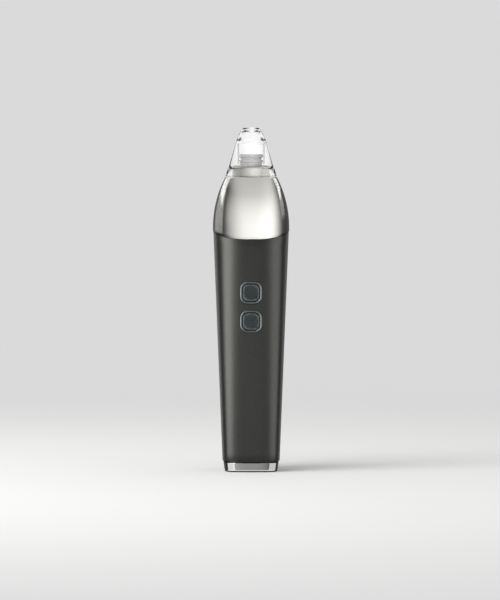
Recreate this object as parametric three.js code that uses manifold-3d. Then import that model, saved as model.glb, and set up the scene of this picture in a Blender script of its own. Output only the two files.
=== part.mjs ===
// Pore vacuum: a hand-held suction wand with a clear push-on tip, a satin silver head,
// a dark tapered body with two push buttons, and a bright ring round its foot.
// Millimetres, +Z up, front towards -Y, origin at the middle of the underside.
import * as THREE from 'three';
import { mergeVertices } from 'three/addons/utils/BufferGeometryUtils.js';
import Module from 'manifold-3d';

const wasm = await Module();
wasm.setup();

// Outer form
const BODY_BOTTOM = 5.9; // lower edge of the body shell
const BODY_BOTTOM_HALF = 15.8; // half its width there
const BODY_TAPER = 0.0398; // half width gained per millimetre of height
const SEAM_FRONT = 127.9; // parting line between body and head, at the middle of the front
const SEAM_RISE = 3.8; // how much higher the parting line runs at the sides
const SEAM_POWER = 3.3; // how late the parting line starts to climb
const SEAM_GAP = 0.3;
const CREST = 134.3; // height of the widest section
const HEAD_ARC = 59.5; // radius of the head's profile above the crest
const SHOULDER = 162; // top of the head cover
const SHOULDER_ROUND = 0.9; // rounding of the head's upper edge
const HEAD_PROUD = 0.25; // how far the head stands out from the body's form
const SQUARE_BASE = 4.2; // superellipse power of the section at the foot
const SQUARE_SEAM = 3.0; // at the seam, where the corners are softest
const SQUARE_TOP = 5.0; // and at the shoulder
const SQUARE_CLIMB = 2.5; // how late the head's corners start to sharpen
const BODY_WALL = 1.8;
const HEAD_WALL = 2.4;
const HEAD_TOP_WALL = 2;

// Clear tip, ribbed seal and neck
const TIP_TOP = 189;
const TIP_FOOT = SHOULDER + 0.3;
const TIP_FOOT_RADIUS = 14.1;
const SKIRT_TOP = 166.4; // the thick skirt ends in a small step
const SKIRT_TOP_RADIUS = 12.95;
const CONE_FOOT = 166.7;
const CONE_FOOT_RADIUS = 12.5;
const TIP_KINK = 181; // where the cone meets the rounded nose
const TIP_KINK_RADIUS = 8.35;
const TIP_WALL = 0.75;
const MOUTH_RADIUS = 3.2;
const SLEEVE_RADIUS = 6.95; // bore of the inner sleeve that slides over the seal
const SLEEVE_WALL = 0.45;
const SLEEVE_FOOT = 168.4;
const COLLAR_RADIUS = 10.2;
const COLLAR_TOP = 167.2;
const SEAL_FOOT = 167.1;
const SEAL_TOP = 174.4;
const SEAL_STEM_RADIUS = 6.05;
const SEAL_RIB_RADIUS = 6.75;
const SEAL_GROOVE_RADIUS = 5.75;
const SEAL_BORE_RADIUS = 4.7;
const SEAL_LIP_RADIUS = 3.4;
const SPIGOT_TOP = 172;
const SPIGOT_BORE = 2.5;

// Push buttons, in a frame that lies on the sloping front face
const CONTROLS_HEIGHT = 90.9; // halfway between the two buttons
const BUTTON_OFFSET = 7.9; // each button's distance from there
const BUTTON_HALF = 4.55;
const BUTTON_CORNER = 2.9;
const BUTTON_PROUD = 0.3;
const BUTTON_TRAVEL = 0.6;
const BEZEL_HALF = 6;
const BEZEL_CORNER = 4.2;
const BEZEL_RIM = 0.9;
const BEZEL_PROUD = 0.25;
const BEZEL_DEPTH = 0.8;
const BOARD_FACE = -7; // front of the control board, behind the front face
const BOARD_THICK = 1;

// Inner frame
const FRAME_BOTTOM = 15;
const FRAME_TOP = 123.5;
const FRAME_INSET = 2.2;
const FRAME_WALL = 1.4;
const SPLIT_GAP = 0.15; // half the gap between the two frame halves

// Motor and pump, on the centre line
const MOTOR_RADIUS = 10.2;
const MOTOR_BOTTOM = 81.8;
const MOTOR_TOP = 110;
const SHAFT_RADIUS = 1;
const SHAFT_TOP = 115.2;
const PUMP_RADIUS = 13.2;
const PUMP_BORE = 10.2;
const PUMP_BOTTOM = MOTOR_TOP + 0.3;
const PUMP_CASE_TOP = 124;
const PUMP_COVER_TOP = 132.5;
const PUMP_CUPS = 3;
const CUP_RING = 6.2; // distance of the diaphragm cups from the centre line
const SCREW_RING = 11.7;
const PIVOT_HEIGHT = 122.6; // where the leaning drive pin crosses the centre line
const WOBBLE_ANGLE = THREE.MathUtils.degToRad(6);

// Battery, foot and charging socket
const BATTERY_RADIUS = 7.1;
const BATTERY_BOTTOM = 20;
const BATTERY_TOP = 69;
const FOOT_FLANGE = 0.4; // height of the thin dark foot under the bright ring
const FOOT_HALF = 14.4;
const FOOT_CORE_HALF = 13.2;
const FOOT_CORE_TOP = 14;
const FOOT_FLOOR = 3;
const RING_BOTTOM = 0.65;
const RING_TOP = 5.1;
const RING_TOP_HALF = 15.25;
const RING_BOTTOM_HALF = 14.78;
const RING_WALL = 1.75;
const WIRE_RADIUS = 0.55;

// Fineness
const SECTION_POINTS = 48;
const HIDDEN_STEP = 3; // hidden sections keep every third point
const ROUND_FINE = 32;
const ROUND_PLAIN = 16;
const ROUND_SMALL = 8;
const CORNER_STEPS = 3; // half the facets of a rounded corner
const MERGE_DISTANCE = 1e-4;
const FIT = 0.3; // gap between pieces that lie against each other

// Solids and booleans

// A closed geometry as a solid, turned right side out.
function toSolid(geometry) {
  const loose = geometry.index ? geometry.toNonIndexed() : geometry;
  const bare = new THREE.BufferGeometry();
  bare.setAttribute('position', loose.getAttribute('position'));
  const merged = mergeVertices(bare, MERGE_DISTANCE);
  const corners = merged.index.array;
  const kept = [];
  for (let i = 0; i < corners.length; i += 3) {
    const [a, b, c] = corners.slice(i, i + 3);
    if (a !== b && b !== c && c !== a) kept.push([a, b, c]);
  }
  const make = (triangles) =>
    new wasm.Manifold(
      new wasm.Mesh({
        numProp: 3,
        vertProperties: merged.getAttribute('position').array,
        triVerts: new Uint32Array(triangles.flat()),
      }),
    );
  const solid = make(kept);
  return solid.volume() < 0 ? make(kept.map(([a, b, c]) => [a, c, b])) : solid;
}

function toGeometry(solid) {
  const mesh = solid.getMesh();
  const positions = new Float32Array(mesh.numVert * 3);
  for (let i = 0; i < mesh.numVert; i++) {
    const start = i * mesh.numProp;
    positions.set(mesh.vertProperties.subarray(start, start + 3), i * 3);
  }
  const geometry = new THREE.BufferGeometry();
  geometry.setAttribute('position', new THREE.BufferAttribute(positions, 3));
  geometry.setIndex(new THREE.BufferAttribute(mesh.triVerts, 1));
  return geometry;
}

function join(first, ...others) {
  const whole = others.reduce((sum, next) => sum.add(toSolid(next)), toSolid(first));
  return toGeometry(whole);
}

function cut(first, ...others) {
  const rest = others.reduce((sum, next) => sum.subtract(toSolid(next)), toSolid(first));
  return toGeometry(rest);
}

function common(first, second) {
  return toGeometry(toSolid(first).intersect(toSolid(second)));
}

// Shapes

// A solid of revolution about Z from [radius, height] pairs.
function turned(profile, segments = ROUND_PLAIN) {
  const points = profile.map(([radius, height]) => new THREE.Vector2(radius, height));
  const onAxis = points[0].x === 0 && points[points.length - 1].x === 0;
  if (!onAxis) points.push(points[0].clone());
  return new THREE.LatheGeometry(points, segments).rotateX(Math.PI / 2);
}

function rod(radius, low, high, segments = ROUND_PLAIN) {
  return turned([[0, low], [radius, low], [radius, high], [0, high]], segments);
}

function ringTurned(inner, outer, low, high, segments = ROUND_PLAIN) {
  return turned([[inner, low], [outer, low], [outer, high], [inner, high]], segments);
}

function block(x0, x1, y0, y1, z0, z1) {
  const box = new THREE.BoxGeometry(x1 - x0, y1 - y0, z1 - z0);
  return box.translate((x0 + x1) / 2, (y0 + y1) / 2, (z0 + z1) / 2);
}

function roundedRectangle(halfX, halfY, corner) {
  const shape = new THREE.Shape();
  shape.absarc(halfX - corner, halfY - corner, corner, 0, Math.PI / 2);
  shape.absarc(corner - halfX, halfY - corner, corner, Math.PI / 2, Math.PI);
  shape.absarc(corner - halfX, corner - halfY, corner, Math.PI, 1.5 * Math.PI);
  shape.absarc(halfX - corner, corner - halfY, corner, 1.5 * Math.PI, 2 * Math.PI);
  return shape;
}

// A flat shape raised from one height to another.
function raised(shape, low, high, curveSegments = CORNER_STEPS) {
  const solid = new THREE.ExtrudeGeometry(shape, { depth: high - low, bevelEnabled: false, curveSegments });
  return solid.translate(0, 0, low);
}

// A wire along a smooth curve.
function wire(points) {
  const curve = new THREE.CatmullRomCurve3(points.map((p) => new THREE.Vector3(...p)));
  const round = new THREE.Shape().absarc(0, 0, WIRE_RADIUS, 0, 2 * Math.PI);
  return new THREE.ExtrudeGeometry(round, {
    steps: 3 * (points.length - 1),
    extrudePath: curve,
    bevelEnabled: false,
    curveSegments: 3,
  });
}

// Skins between rings of equally many points. Without a last-to-first row, each end gets a flat cap.
function skin(rows, closed) {
  const count = rows[0].length;
  const positions = rows.flat().flatMap((p) => [p.x, p.y, p.z]);
  const index = [];
  const strips = closed ? rows.length : rows.length - 1;
  for (let i = 0; i < strips; i++) {
    const low = i * count;
    const high = ((i + 1) % rows.length) * count;
    for (let j = 0; j < count; j++) {
      const next = (j + 1) % count;
      index.push(low + j, low + next, high + next, low + j, high + next, high + j);
    }
  }
  if (!closed) {
    const top = (rows.length - 1) * count;
    for (let j = 1; j < count - 1; j++) index.push(0, j + 1, j, top, top + j, top + j + 1);
  }
  const geometry = new THREE.BufferGeometry();
  geometry.setAttribute('position', new THREE.Float32BufferAttribute(positions, 3));
  geometry.setIndex(index);
  return geometry;
}

// Outer form of body and head

function bodyLine(z) {
  return BODY_BOTTOM_HALF + BODY_TAPER * (z - BODY_BOTTOM);
}

const CREST_BLEND = BODY_TAPER / (2 * (CREST - SEAM_FRONT));
const CREST_HALF = bodyLine(SEAM_FRONT) + CREST_BLEND * (CREST - SEAM_FRONT) ** 2;

// Half the width of the section at height z: a straight taper, then a barrel-shaped head.
function halfWidth(z) {
  if (z <= SEAM_FRONT) return bodyLine(z);
  if (z <= CREST) return CREST_HALF - CREST_BLEND * (CREST - z) ** 2;
  return CREST_HALF - HEAD_ARC + Math.sqrt(HEAD_ARC ** 2 - (z - CREST) ** 2);
}

// The section's corners soften from the foot up to the seam and sharpen again up to the shoulder.
function squareness(z) {
  const { lerp, mapLinear } = THREE.MathUtils;
  if (z < SEAM_FRONT) return mapLinear(z, BODY_BOTTOM, SEAM_FRONT, SQUARE_BASE, SQUARE_SEAM);
  const climb = mapLinear(z, SEAM_FRONT, SHOULDER, 0, 1) ** SQUARE_CLIMB;
  return lerp(SQUARE_SEAM, SQUARE_TOP, climb);
}

// Point j of a superellipse with half width 1.
function unitSection(j, power) {
  const angle = (2 * Math.PI * j) / SECTION_POINTS;
  const bend = (value) => Math.sign(value) * Math.abs(value) ** (2 / power);
  return [bend(Math.cos(angle)), bend(Math.sin(angle))];
}

function sectionRing(half, power, z) {
  return Array.from({ length: SECTION_POINTS }, (_, j) => {
    const [u, v] = unitSection(j, power);
    return new THREE.Vector3(half * u, half * v, z);
  });
}

// A ring on the outer form, set in by an inset, whose height may differ from point to point.
// A step of 3 keeps every third point.
function formRing(inset, heightAt, step = 1) {
  return Array.from({ length: SECTION_POINTS / step }, (_, i) => {
    const j = i * step;
    const z = heightAt(j);
    const [u, v] = unitSection(j, squareness(z));
    const half = halfWidth(z) - inset;
    return new THREE.Vector3(half * u, half * v, z);
  });
}

function roundRing(radius, z) {
  return Array.from({ length: SECTION_POINTS }, (_, j) => {
    const [u, v] = unitSection(j, SQUARE_TOP);
    const angle = Math.atan2(v, u);
    return new THREE.Vector3(radius * Math.cos(angle), radius * Math.sin(angle), z);
  });
}

function seamHeight(j) {
  const [u] = unitSection(j, SQUARE_SEAM);
  return SEAM_FRONT + SEAM_RISE * Math.abs(u) ** SEAM_POWER;
}

// A hidden tube that follows the outer form between two heights, with plainer sections.
function formTube(outerInset, innerInset, low, high, rows) {
  const heights = Array.from({ length: rows + 1 }, (_, i) => low + ((high - low) * i) / rows);
  const outer = heights.map((z) => formRing(outerInset, () => z, HIDDEN_STEP));
  const inner = heights.map((z) => formRing(innerInset, () => z, HIDDEN_STEP));
  return skin([...outer, ...inner.reverse()], true);
}

function formPlate(inset, low, high) {
  return skin([formRing(inset, () => low, HIDDEN_STEP), formRing(inset, () => high, HIDDEN_STEP)], false);
}

// Materials

function finish(color, roughness, metalness = 0, opacity = 1) {
  return new THREE.MeshStandardMaterial({ color, roughness, metalness, opacity, transparent: opacity < 1 });
}

const FINISHES = {
  clear: () => finish(0xf4f7f8, 0.08, 0, 0.3),
  sponge: () => finish(0xf6f5f0, 0.95),
  greySilicone: () => finish(0xb4b0b1, 0.5),
  satinSilver: () => finish(0xc8c7c2, 0.32, 0.9),
  gunmetal: () => finish(0x3c3c3a, 0.42, 0.4),
  brightChrome: () => finish(0xd8d9d8, 0.08, 1),
  darkPlastic: () => finish(0x232322, 0.55),
  buttonGrey: () => finish(0x3f4546, 0.45, 0.3),
  whitePlastic: () => finish(0xe4e3de, 0.6),
  blackPlastic: () => finish(0x1b1b1c, 0.5),
  steel: () => finish(0xa9adb0, 0.3, 1),
  brass: () => finish(0xc2a264, 0.35, 1),
  magnet: () => finish(0x4a4a4c, 0.7),
  rubber: () => finish(0x2b2b2b, 0.85),
  silicone: () => finish(0xe9e6de, 0.45),
  boardGreen: () => finish(0x1f5a3c, 0.5),
  cellWrap: () => finish(0x2f6fa8, 0.4),
  redWire: () => finish(0xb3242a, 0.5),
  blackWire: () => finish(0x1c1c1c, 0.5),
};

// The device and its two turned groups

const device = new THREE.Group();

// Buttons, switches and board lie on the sloping front face: X to the right, Y up the face, Z out of it.
const controls = new THREE.Group();
controls.position.set(0, -halfWidth(CONTROLS_HEIGHT), CONTROLS_HEIGHT);
controls.rotation.x = Math.PI / 2 + Math.atan(BODY_TAPER);
controls.updateMatrix();

// The wobble plate and its pin lean about the point where the pin crosses the centre line.
const wobble = new THREE.Group();
wobble.position.z = PIVOT_HEIGHT;
wobble.rotation.y = WOBBLE_ANGLE;
wobble.updateMatrix();

device.add(controls, wobble);

// One named piece, placed in the device or in one of its groups.
function add(name, geometry, finishName, { parent = device, at = [0, 0, 0] } = {}) {
  const mesh = new THREE.Mesh(toGeometry(toSolid(geometry)), FINISHES[finishName]());
  mesh.name = name;
  mesh.position.set(...at);
  parent.add(mesh);
}

// A cutter or post given in the controls group, moved to where that group is in the device.
function inControls(geometry, x = 0, y = 0) {
  return geometry.clone().translate(x, y, 0).applyMatrix4(controls.matrix);
}

function ringPlace(radius, angle) {
  return [radius * Math.cos(angle), radius * Math.sin(angle), 0];
}

function atRing(geometry, radius, angle) {
  return geometry.clone().translate(...ringPlace(radius, angle));
}

// Clear suction tip

function suctionTip() {
  const slope = (CONE_FOOT_RADIUS - TIP_KINK_RADIUS) / (TIP_KINK - CONE_FOOT);
  const coneAt = (z) => CONE_FOOT_RADIUS - slope * (z - CONE_FOOT);
  const sleeveOuter = SLEEVE_RADIUS + SLEEVE_WALL;
  const pocketTop = 180.6; // where cone and sleeve close on each other
  const skirtBore = COLLAR_RADIUS + 0.35;
  return turned([
    [skirtBore, TIP_FOOT],
    [TIP_FOOT_RADIUS - 0.25, TIP_FOOT],
    [TIP_FOOT_RADIUS, TIP_FOOT + 0.25],
    [SKIRT_TOP_RADIUS, SKIRT_TOP],
    [CONE_FOOT_RADIUS, CONE_FOOT],
    [TIP_KINK_RADIUS, TIP_KINK],
    [7.45, 184],
    [6.35, 186.1],
    [5.5, 187.6],
    [4.75, 188.5],
    [4.2, 188.9],
    [3.8, TIP_TOP],
    [3.45, 188.8],
    [MOUTH_RADIUS, 188.3],
    [MOUTH_RADIUS, 187.4],
    [3.6, 186.9],
    [4.4, 186.5],
    [5.2, 184.9],
    [5.8, 183.2],
    [SLEEVE_RADIUS, 181.1],
    [SLEEVE_RADIUS, SLEEVE_FOOT],
    [sleeveOuter, SLEEVE_FOOT],
    [sleeveOuter, pocketTop],
    [coneAt(pocketTop) - TIP_WALL, pocketTop],
    [skirtBore, COLLAR_TOP + 0.2],
  ], ROUND_FINE);
}

add('suction_tip', suctionTip(), 'clear');

// Ribbed seal that the tip's sleeve grips, with the sponge filter under its lip

function nozzleSeal() {
  const ribs = [169.8, 172.7]; // lower edges of the two ribs
  const ribHeight = 1.45;
  const ribRound = 0.25;
  const profile = [[SEAL_BORE_RADIUS, SEAL_FOOT], [SEAL_STEM_RADIUS, SEAL_FOOT]];
  ribs.forEach((low, i) => {
    const neck = i === 0 ? SEAL_STEM_RADIUS : SEAL_GROOVE_RADIUS;
    const high = low + ribHeight;
    profile.push([neck, low - ribRound], [SEAL_RIB_RADIUS, low], [SEAL_RIB_RADIUS, high - ribRound]);
    if (i === 0) profile.push([SEAL_GROOVE_RADIUS, high]);
  });
  const lipThick = 0.8;
  profile.push([SEAL_RIB_RADIUS - 0.35, SEAL_TOP], [SEAL_LIP_RADIUS, SEAL_TOP]);
  profile.push([SEAL_LIP_RADIUS, SEAL_TOP - lipThick], [SEAL_BORE_RADIUS, SEAL_TOP - lipThick]);
  return turned(profile);
}

add('nozzle_seal', nozzleSeal(), 'greySilicone');
add('filter_sponge', rod(SEAL_BORE_RADIUS - 0.3, SPIGOT_TOP + 0.2, SEAL_TOP - 1), 'sponge');

// Neck collar and the suction spigot inside it

const HEAD_CEILING = SHOULDER - HEAD_TOP_WALL;
const COLLAR_FLANGE_TOP = HEAD_CEILING - FIT;
const COLLAR_FLANGE_BOTTOM = COLLAR_FLANGE_TOP - 1.9;
const COLLAR_BORE = 9.3;

function neckCollar() {
  const flange = 12.2;
  const topRound = 0.35;
  return turned([
    [COLLAR_BORE, COLLAR_FLANGE_BOTTOM],
    [flange, COLLAR_FLANGE_BOTTOM],
    [flange, COLLAR_FLANGE_TOP],
    [COLLAR_RADIUS, COLLAR_FLANGE_TOP],
    [COLLAR_RADIUS - 0.1, COLLAR_TOP - topRound],
    [COLLAR_RADIUS - topRound, COLLAR_TOP],
    [COLLAR_BORE, COLLAR_TOP],
  ], ROUND_FINE);
}

const SPIGOT_BARB_BOTTOM = 147;
const BARB_RADIUS = 2.2;
const BARB_RIDGE = 2.5;

function inletSpigot() {
  const plate = COLLAR_BORE - FIT;
  const flange = 11.2;
  const flangeTop = COLLAR_FLANGE_BOTTOM - FIT;
  const flangeBottom = flangeTop - 2;
  const bore = 1.4;
  return turned([
    [bore, SPIGOT_BARB_BOTTOM],
    [BARB_RADIUS - 0.3, SPIGOT_BARB_BOTTOM],
    [BARB_RIDGE, SPIGOT_BARB_BOTTOM + 1.6],
    [BARB_RADIUS, SPIGOT_BARB_BOTTOM + 1.8],
    [BARB_RADIUS, flangeBottom],
    [flange, flangeBottom],
    [flange, flangeTop],
    [plate, flangeTop],
    [plate, COLLAR_TOP - FIT],
    [SEAL_BORE_RADIUS - 0.2, COLLAR_TOP - FIT],
    [SEAL_BORE_RADIUS - 0.2, SPIGOT_TOP],
    [SPIGOT_BORE, SPIGOT_TOP],
    [SPIGOT_BORE, flangeBottom],
    [bore, flangeBottom - 1.5],
  ]);
}

add('neck_collar', neckCollar(), 'satinSilver');
add('inlet_spigot', inletSpigot(), 'whitePlastic');

// Head cover: a barrel-shaped shell with a locating lip inside the body

function headCover() {
  const rows = 6;
  const edge = SHOULDER - SHOULDER_ROUND;
  const outer = [];
  const lowerEdge = (j) => seamHeight(j) + SEAM_GAP;
  for (let i = 0; i <= rows; i++) {
    outer.push(formRing(-HEAD_PROUD, (j) => THREE.MathUtils.lerp(lowerEdge(j), edge, i / rows)));
  }
  const edgeHalf = halfWidth(edge) + HEAD_PROUD;
  for (const turn of [Math.PI / 4, Math.PI / 2]) {
    const half = edgeHalf - SHOULDER_ROUND * (1 - Math.cos(turn)) - 0.1;
    outer.push(sectionRing(half, SQUARE_TOP, edge + SHOULDER_ROUND * Math.sin(turn)));
  }
  const hole = COLLAR_RADIUS + FIT;
  const neck = [roundRing(hole, SHOULDER), roundRing(hole, HEAD_CEILING)];
  const inner = [formRing(HEAD_WALL, () => HEAD_CEILING)];
  const innerRows = 3;
  for (let i = 1; i <= innerRows; i++) {
    inner.push(formRing(HEAD_WALL, (j) => THREE.MathUtils.lerp(HEAD_CEILING, lowerEdge(j), i / innerRows)));
  }
  const shell = skin([...outer, ...neck, ...inner], true);
  const lipWall = 1.2;
  const lipInset = BODY_WALL + FIT;
  const lip = formTube(lipInset, lipInset + lipWall, FRAME_TOP + 1, CREST + 3.5, 2);
  return join(shell, lip);
}

add('head_cover', headCover(), 'satinSilver');

// Body shell with a stepped opening for each button

function bodyShell() {
  const rings = (inset, shares) =>
    shares.map((share) => formRing(inset, (j) => THREE.MathUtils.lerp(BODY_BOTTOM, seamHeight(j), share)));
  const outer = rings(0, [0, 0.33, 0.66, 0.95, 1]);
  const inner = rings(BODY_WALL, [1, 0.5, 0]);
  const shell = skin([...outer, ...inner], true);
  const recessHalf = BEZEL_HALF + FIT;
  const recessOutline = roundedRectangle(recessHalf, recessHalf, BEZEL_CORNER + FIT);
  const recess = raised(recessOutline, -BEZEL_DEPTH - FIT, 2);
  const throughHalf = BUTTON_HALF + FIT;
  const through = raised(roundedRectangle(throughHalf, throughHalf, BUTTON_CORNER + FIT), -3, 2);
  const openings = [BUTTON_OFFSET, -BUTTON_OFFSET].flatMap((offset) => [
    inControls(recess, 0, offset),
    inControls(through, 0, offset),
  ]);
  return cut(shell, ...openings);
}

add('body_shell', bodyShell(), 'gunmetal');

// Buttons, their bright bezels and the tact switches behind them

const FLANGE_TOP = -BODY_WALL - 0.25;
const FLANGE_BOTTOM = FLANGE_TOP - 0.8;
const STEM_BOTTOM = FLANGE_BOTTOM - 0.6;
const PLUNGER_RADIUS = 1.6;
const PLUNGER_TOP = STEM_BOTTOM - 0.1;
const PLUNGER_BOTTOM = PLUNGER_TOP - 1.7;
const SWITCH_TOP = PLUNGER_TOP - 0.8;
const SWITCH_HALF = 3;

function bezel() {
  const shape = roundedRectangle(BEZEL_HALF - 0.15, BEZEL_HALF - 0.15, BEZEL_CORNER - 0.15);
  const innerHalf = BEZEL_HALF - BEZEL_RIM;
  const hole = raised(roundedRectangle(innerHalf, innerHalf, BEZEL_CORNER - BEZEL_RIM), -2, 2);
  const top = new THREE.ExtrudeGeometry(shape, {
    depth: BEZEL_DEPTH + BEZEL_PROUD - 0.3,
    bevelThickness: 0.15,
    bevelSize: 0.15,
    bevelSegments: 1,
    curveSegments: CORNER_STEPS,
  });
  return cut(top.translate(0, 0, 0.15 - BEZEL_DEPTH), hole);
}

function button() {
  const edge = 0.3;
  const outline = roundedRectangle(BUTTON_HALF - edge, BUTTON_HALF - edge, BUTTON_CORNER - edge);
  const cap = new THREE.ExtrudeGeometry(outline, {
    depth: BUTTON_PROUD - FLANGE_TOP - 0.2,
    bevelThickness: edge,
    bevelSize: edge,
    bevelSegments: 2,
    curveSegments: CORNER_STEPS,
  }).translate(0, 0, FLANGE_TOP - 0.1);
  const flangeHalf = BUTTON_HALF + 1;
  const flangeOutline = roundedRectangle(flangeHalf, flangeHalf, BUTTON_CORNER + 1);
  const flange = raised(flangeOutline, FLANGE_BOTTOM, FLANGE_TOP);
  const stem = rod(PLUNGER_RADIUS, STEM_BOTTOM, FLANGE_TOP, ROUND_SMALL);
  const dishRadius = 3.8;
  const dishDepth = 0.42;
  const dish = turned([
    [0, BUTTON_PROUD - dishDepth],
    [dishRadius * 0.5, BUTTON_PROUD - dishDepth * 0.75],
    [dishRadius, BUTTON_PROUD],
    [dishRadius, BUTTON_PROUD + 1],
    [0, BUTTON_PROUD + 1],
  ]);
  return cut(join(cap, flange, stem), dish);
}

function switchBody() {
  const foot = BOARD_FACE + 0.2;
  const base = block(-SWITCH_HALF, SWITCH_HALF, -SWITCH_HALF, SWITCH_HALF, foot, SWITCH_TOP);
  const wellFloor = PLUNGER_BOTTOM - BUTTON_TRAVEL - 0.2;
  return cut(base, rod(PLUNGER_RADIUS + FIT, wellFloor, SWITCH_TOP + 1, ROUND_SMALL));
}

for (const [label, offset] of [['power', BUTTON_OFFSET], ['level', -BUTTON_OFFSET]]) {
  const place = { parent: controls, at: [0, offset, 0] };
  const plunger = rod(PLUNGER_RADIUS, PLUNGER_BOTTOM, PLUNGER_TOP, ROUND_SMALL);
  add(`${label}_button`, button(), 'buttonGrey', place);
  add(`${label}_button_bezel`, bezel(), 'brightChrome', place);
  add(`${label}_switch_plunger`, plunger, 'blackPlastic', place);
  add(`${label}_switch_body`, switchBody(), 'blackPlastic', place);
}

// Control board, held by two screws to posts of the front frame

const BOARD_HALF_X = 8;
const BOARD_HALF_Y = 18.4;
const POST_X = 5.8;
const POST_Y = 16.6;
const BOARD_BACK = BOARD_FACE - BOARD_THICK;
const SCREW_SHANK = 0.9;
const SCREW_HOLE = 1.15;

function controlBoard() {
  const board = raised(roundedRectangle(BOARD_HALF_X, BOARD_HALF_Y, 1), BOARD_BACK, BOARD_FACE);
  const holes = [-1, 1].map((side) =>
    rod(SCREW_HOLE, BOARD_BACK - 1, BOARD_FACE + 1, ROUND_SMALL).translate(side * POST_X, -side * POST_Y, 0),
  );
  return cut(board, ...holes);
}

function boardScrew() {
  const head = rod(1.7, BOARD_BACK - 1.3, BOARD_BACK - 0.1, ROUND_SMALL);
  return join(head, rod(SCREW_SHANK, BOARD_BACK - 0.5, BOARD_FACE + 2, ROUND_SMALL));
}

add('control_board', controlBoard(), 'boardGreen', { parent: controls });
add('board_screw_upper', boardScrew(), 'steel', { parent: controls, at: [-POST_X, POST_Y, 0] });
add('board_screw_lower', boardScrew(), 'steel', { parent: controls, at: [POST_X, -POST_Y, 0] });

// Inner frame in two halves: a lining with ribs for battery and motor, and screw bosses

const FRAME_SCREWS = [
  { x: -10.4, z: 44 },
  { x: 10.4, z: 44 },
  { x: -11.4, z: 76 },
  { x: 11.4, z: 76 },
];
const BOSS_RADIUS = 2.8;
const FRAME_SCREW_HEAD = { radius: 1.8, front: 11.4, back: 12.8 };
const FOOT_SCREWS = [{ x: -8.6, y: 7.2 }, { x: 8.6, y: 7.2 }];
const WIRE_CHANNEL = { x0: -4.4, x1: 2.7, y0: -10.8, y1: -7 };

// A rod along Y.
function crossRod(radius, front, back, x = 0, z = 0) {
  return rod(radius, front, back, ROUND_SMALL).rotateX(-Math.PI / 2).translate(x, 0, z);
}

function frameWhole() {
  const innerInset = FRAME_INSET + FRAME_WALL;
  const overlap = 0.5; // ribs and bosses run this far into the lining
  const lining = formTube(FRAME_INSET, innerInset, FRAME_BOTTOM, FRAME_TOP, 2);
  const rib = (low, hole) => {
    const plate = formPlate(innerInset - overlap, low, low + 2);
    return cut(plate, rod(hole, low - 1, low + 3));
  };
  const floor = formPlate(innerInset - overlap, FRAME_BOTTOM, FRAME_BOTTOM + 1.6);
  const ribs = [
    ...[26, 60].map((z) => rib(z, BATTERY_RADIUS + FIT)),
    ...[87, 104].map((z) => rib(z, MOTOR_RADIUS + FIT)),
  ];
  const bosses = FRAME_SCREWS.map(({ x, z }) => {
    const reach = formPlate(innerInset - overlap, z - BOSS_RADIUS - 1, z + BOSS_RADIUS + 1);
    return common(crossRod(BOSS_RADIUS, -30, 30, x, z), reach);
  });
  const footBoss = rod(2.4, FRAME_BOTTOM, 25, ROUND_SMALL);
  const footBosses = FOOT_SCREWS.map(({ x, y }) => footBoss.clone().translate(x, y, 0));
  const postTop = -innerInset + overlap;
  const posts = [-1, 1].map((side) =>
    inControls(rod(2, BOARD_FACE + 0.2, postTop, ROUND_SMALL), side * POST_X, -side * POST_Y),
  );
  const boardRoom = inControls(block(-9, 9, -19.6, 19.6, BOARD_BACK - 1.6, BOARD_FACE + 0.1));
  const buttonWindow = inControls(block(-7.2, 7.2, -14.4, 14.4, BOARD_FACE, 0));
  const ribbed = cut(join(lining, floor, ...ribs), boardRoom, buttonWindow);
  return join(ribbed, ...bosses, ...footBosses, ...posts);
}

function frameHalf(front) {
  const far = 40;
  const side = front ? block(-far, far, -far, -SPLIT_GAP, 0, 200) : block(-far, far, SPLIT_GAP, far, 0, 200);
  const half = common(frameWhole(), side);
  const { x0, x1, y0, y1 } = WIRE_CHANNEL;
  const channel = block(x0, x1, y0, y1, FRAME_BOTTOM - 1, 63);
  const screwHoles = FRAME_SCREWS.flatMap(({ x, z }) => [
    crossRod(SCREW_HOLE, -9, FRAME_SCREW_HEAD.back + 5, x, z),
    crossRod(FRAME_SCREW_HEAD.radius + FIT, FRAME_SCREW_HEAD.front - 0.2, FRAME_SCREW_HEAD.back + 8, x, z),
  ]);
  const footHoles = FOOT_SCREWS.map(({ x, y }) => rod(SCREW_HOLE, 10, 24, ROUND_SMALL).translate(x, y, 0));
  const postHoles = [-1, 1].map((side) =>
    inControls(rod(SCREW_HOLE, BOARD_BACK, BOARD_FACE + 2.3, ROUND_SMALL), side * POST_X, -side * POST_Y),
  );
  return cut(half, channel, ...screwHoles, ...footHoles, ...postHoles);
}

function frameScrew() {
  const { radius, front, back } = FRAME_SCREW_HEAD;
  return join(crossRod(radius, front, back), crossRod(SCREW_SHANK, -8, front + 0.5));
}

add('frame_front', frameHalf(true), 'whitePlastic');
add('frame_rear', frameHalf(false), 'whitePlastic');
FRAME_SCREWS.forEach(({ x, z }, i) => add(`frame_screw_${i + 1}`, frameScrew(), 'steel', { at: [x, 0, z] }));

// Motor: can, end bell, magnets, bushes, and the turning armature and shaft

const CAN_WALL = 0.8;
const CAN_BOTTOM = MOTOR_BOTTOM + 2.2;
const BUSH_RADIUS = 2.6;
const ARMATURE_BOTTOM = 90;
const ARMATURE_TOP = 103;
const ARMATURE_RADIUS = 7.2;
const POLES = 3;

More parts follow.
